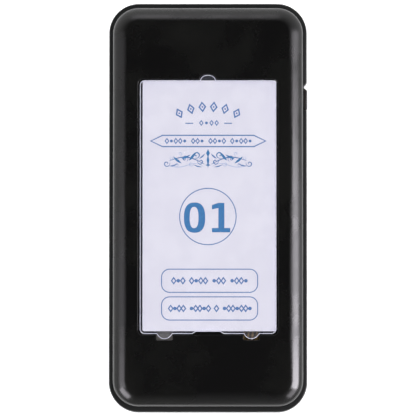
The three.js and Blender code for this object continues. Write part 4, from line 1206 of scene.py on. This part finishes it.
# %% World
world = bpy.data.worlds.new("studio_world")
bpy.context.scene.world = world
world.use_nodes = True
sky = world.node_tree
sky.nodes.clear()
direction = add_node(sky, "ShaderNodeTexCoord").outputs["Generated"]
split = add_node(sky, "ShaderNodeSeparateXYZ", {0: direction})
ramp = add_node(sky, "ShaderNodeValToRGB", {0: split.outputs[2]})
near_to_far = add_node(sky, "ShaderNodeMapRange", {0: split.outputs[1], 1: -1.0, 2: 1.0, 3: 0.4, 4: 1.2})
stops = [(0.0, 0.95), (0.4, 0.8), (0.78, 0.04), (1.0, 0.015)]
for place, _ in stops[1:-1]:
    ramp.color_ramp.elements.new(place)
for element, (_, level) in zip(ramp.color_ramp.elements, stops):
    element.color = (level, level, level, 1)
background = add_node(
    sky, "ShaderNodeBackground", {"Color": ramp.outputs[0], "Strength": near_to_far.outputs[0]}
).outputs[0]
add_node(sky, "ShaderNodeOutputWorld", {"Surface": background})


# %% Softboxes
def softbox(name, place, size_x, size_y, power):
    """An area light at place, turned to face the middle of the pager."""
    lamp = bpy.data.lights.new(name, "AREA")
    lamp.shape = "RECTANGLE"
    lamp.size, lamp.size_y = size_x, size_y
    lamp.energy = power
    holder = bpy.data.objects.new(name, lamp)
    bpy.context.scene.collection.objects.link(holder)
    holder.location = place
    holder.rotation_euler = (-Vector(place)).to_track_quat("-Z", "Y").to_euler()
    return holder


# The overhead softbox hangs above the camera. The others are faintly lavender, which tints their streaks.
STRIP_TINT = (0.97, 0.93, 1.0)
overhead = softbox("overhead_softbox_polarised", (0.0, 0.0, 1.6), 1.2, 1.2, 31.0)
overhead.visible_glossy = False
for name, place, width, height, power in (
    ("right", (0.9, -0.16, 0.6), 0.5, 0.5, 9.8),
    ("left", (-0.85, -0.18, 0.76), 0.45, 0.45, 1.5),
    ("far", (-0.1, 0.9, 0.66), 0.5, 0.3, 0.6),
    ("near_left", (-0.68, -0.62, 0.55), 0.6, 0.35, 3.6),
    ("near_right", (0.72, -0.58, 0.5), 0.6, 0.35, 2.0),
):
    strip = softbox(f"gloss_softbox_{name}", place, width, height, power)
    strip.visible_diffuse = False
    strip.data.color = STRIP_TINT

# %% Camera
ELEVATION = np.radians(86.2)
DISTANCE = 1.4
SENSOR = 36
AIM = Vector((0, 0, 5.5 * MM))
VIEW_WIDTH = 112.07 * MM  # what the camera takes in at the pager, from side to side
camera = bpy.data.objects.new("camera", bpy.data.cameras.new("camera"))
bpy.context.scene.collection.objects.link(camera)
back = Vector((0, -np.cos(ELEVATION), np.sin(ELEVATION)))
camera.location = AIM + DISTANCE * back
camera.rotation_mode = "QUATERNION"
camera.rotation_quaternion = (-back).to_track_quat("-Z", "Y")
camera.data.sensor_width = SENSOR
camera.data.lens = SENSOR * DISTANCE / VIEW_WIDTH
camera.data.clip_start, camera.data.clip_end = 0.01, 20
bpy.context.scene.camera = camera
bpy.context.scene.view_settings.view_transform = "Standard"
print("lens", round(camera.data.lens, 1), "mm")
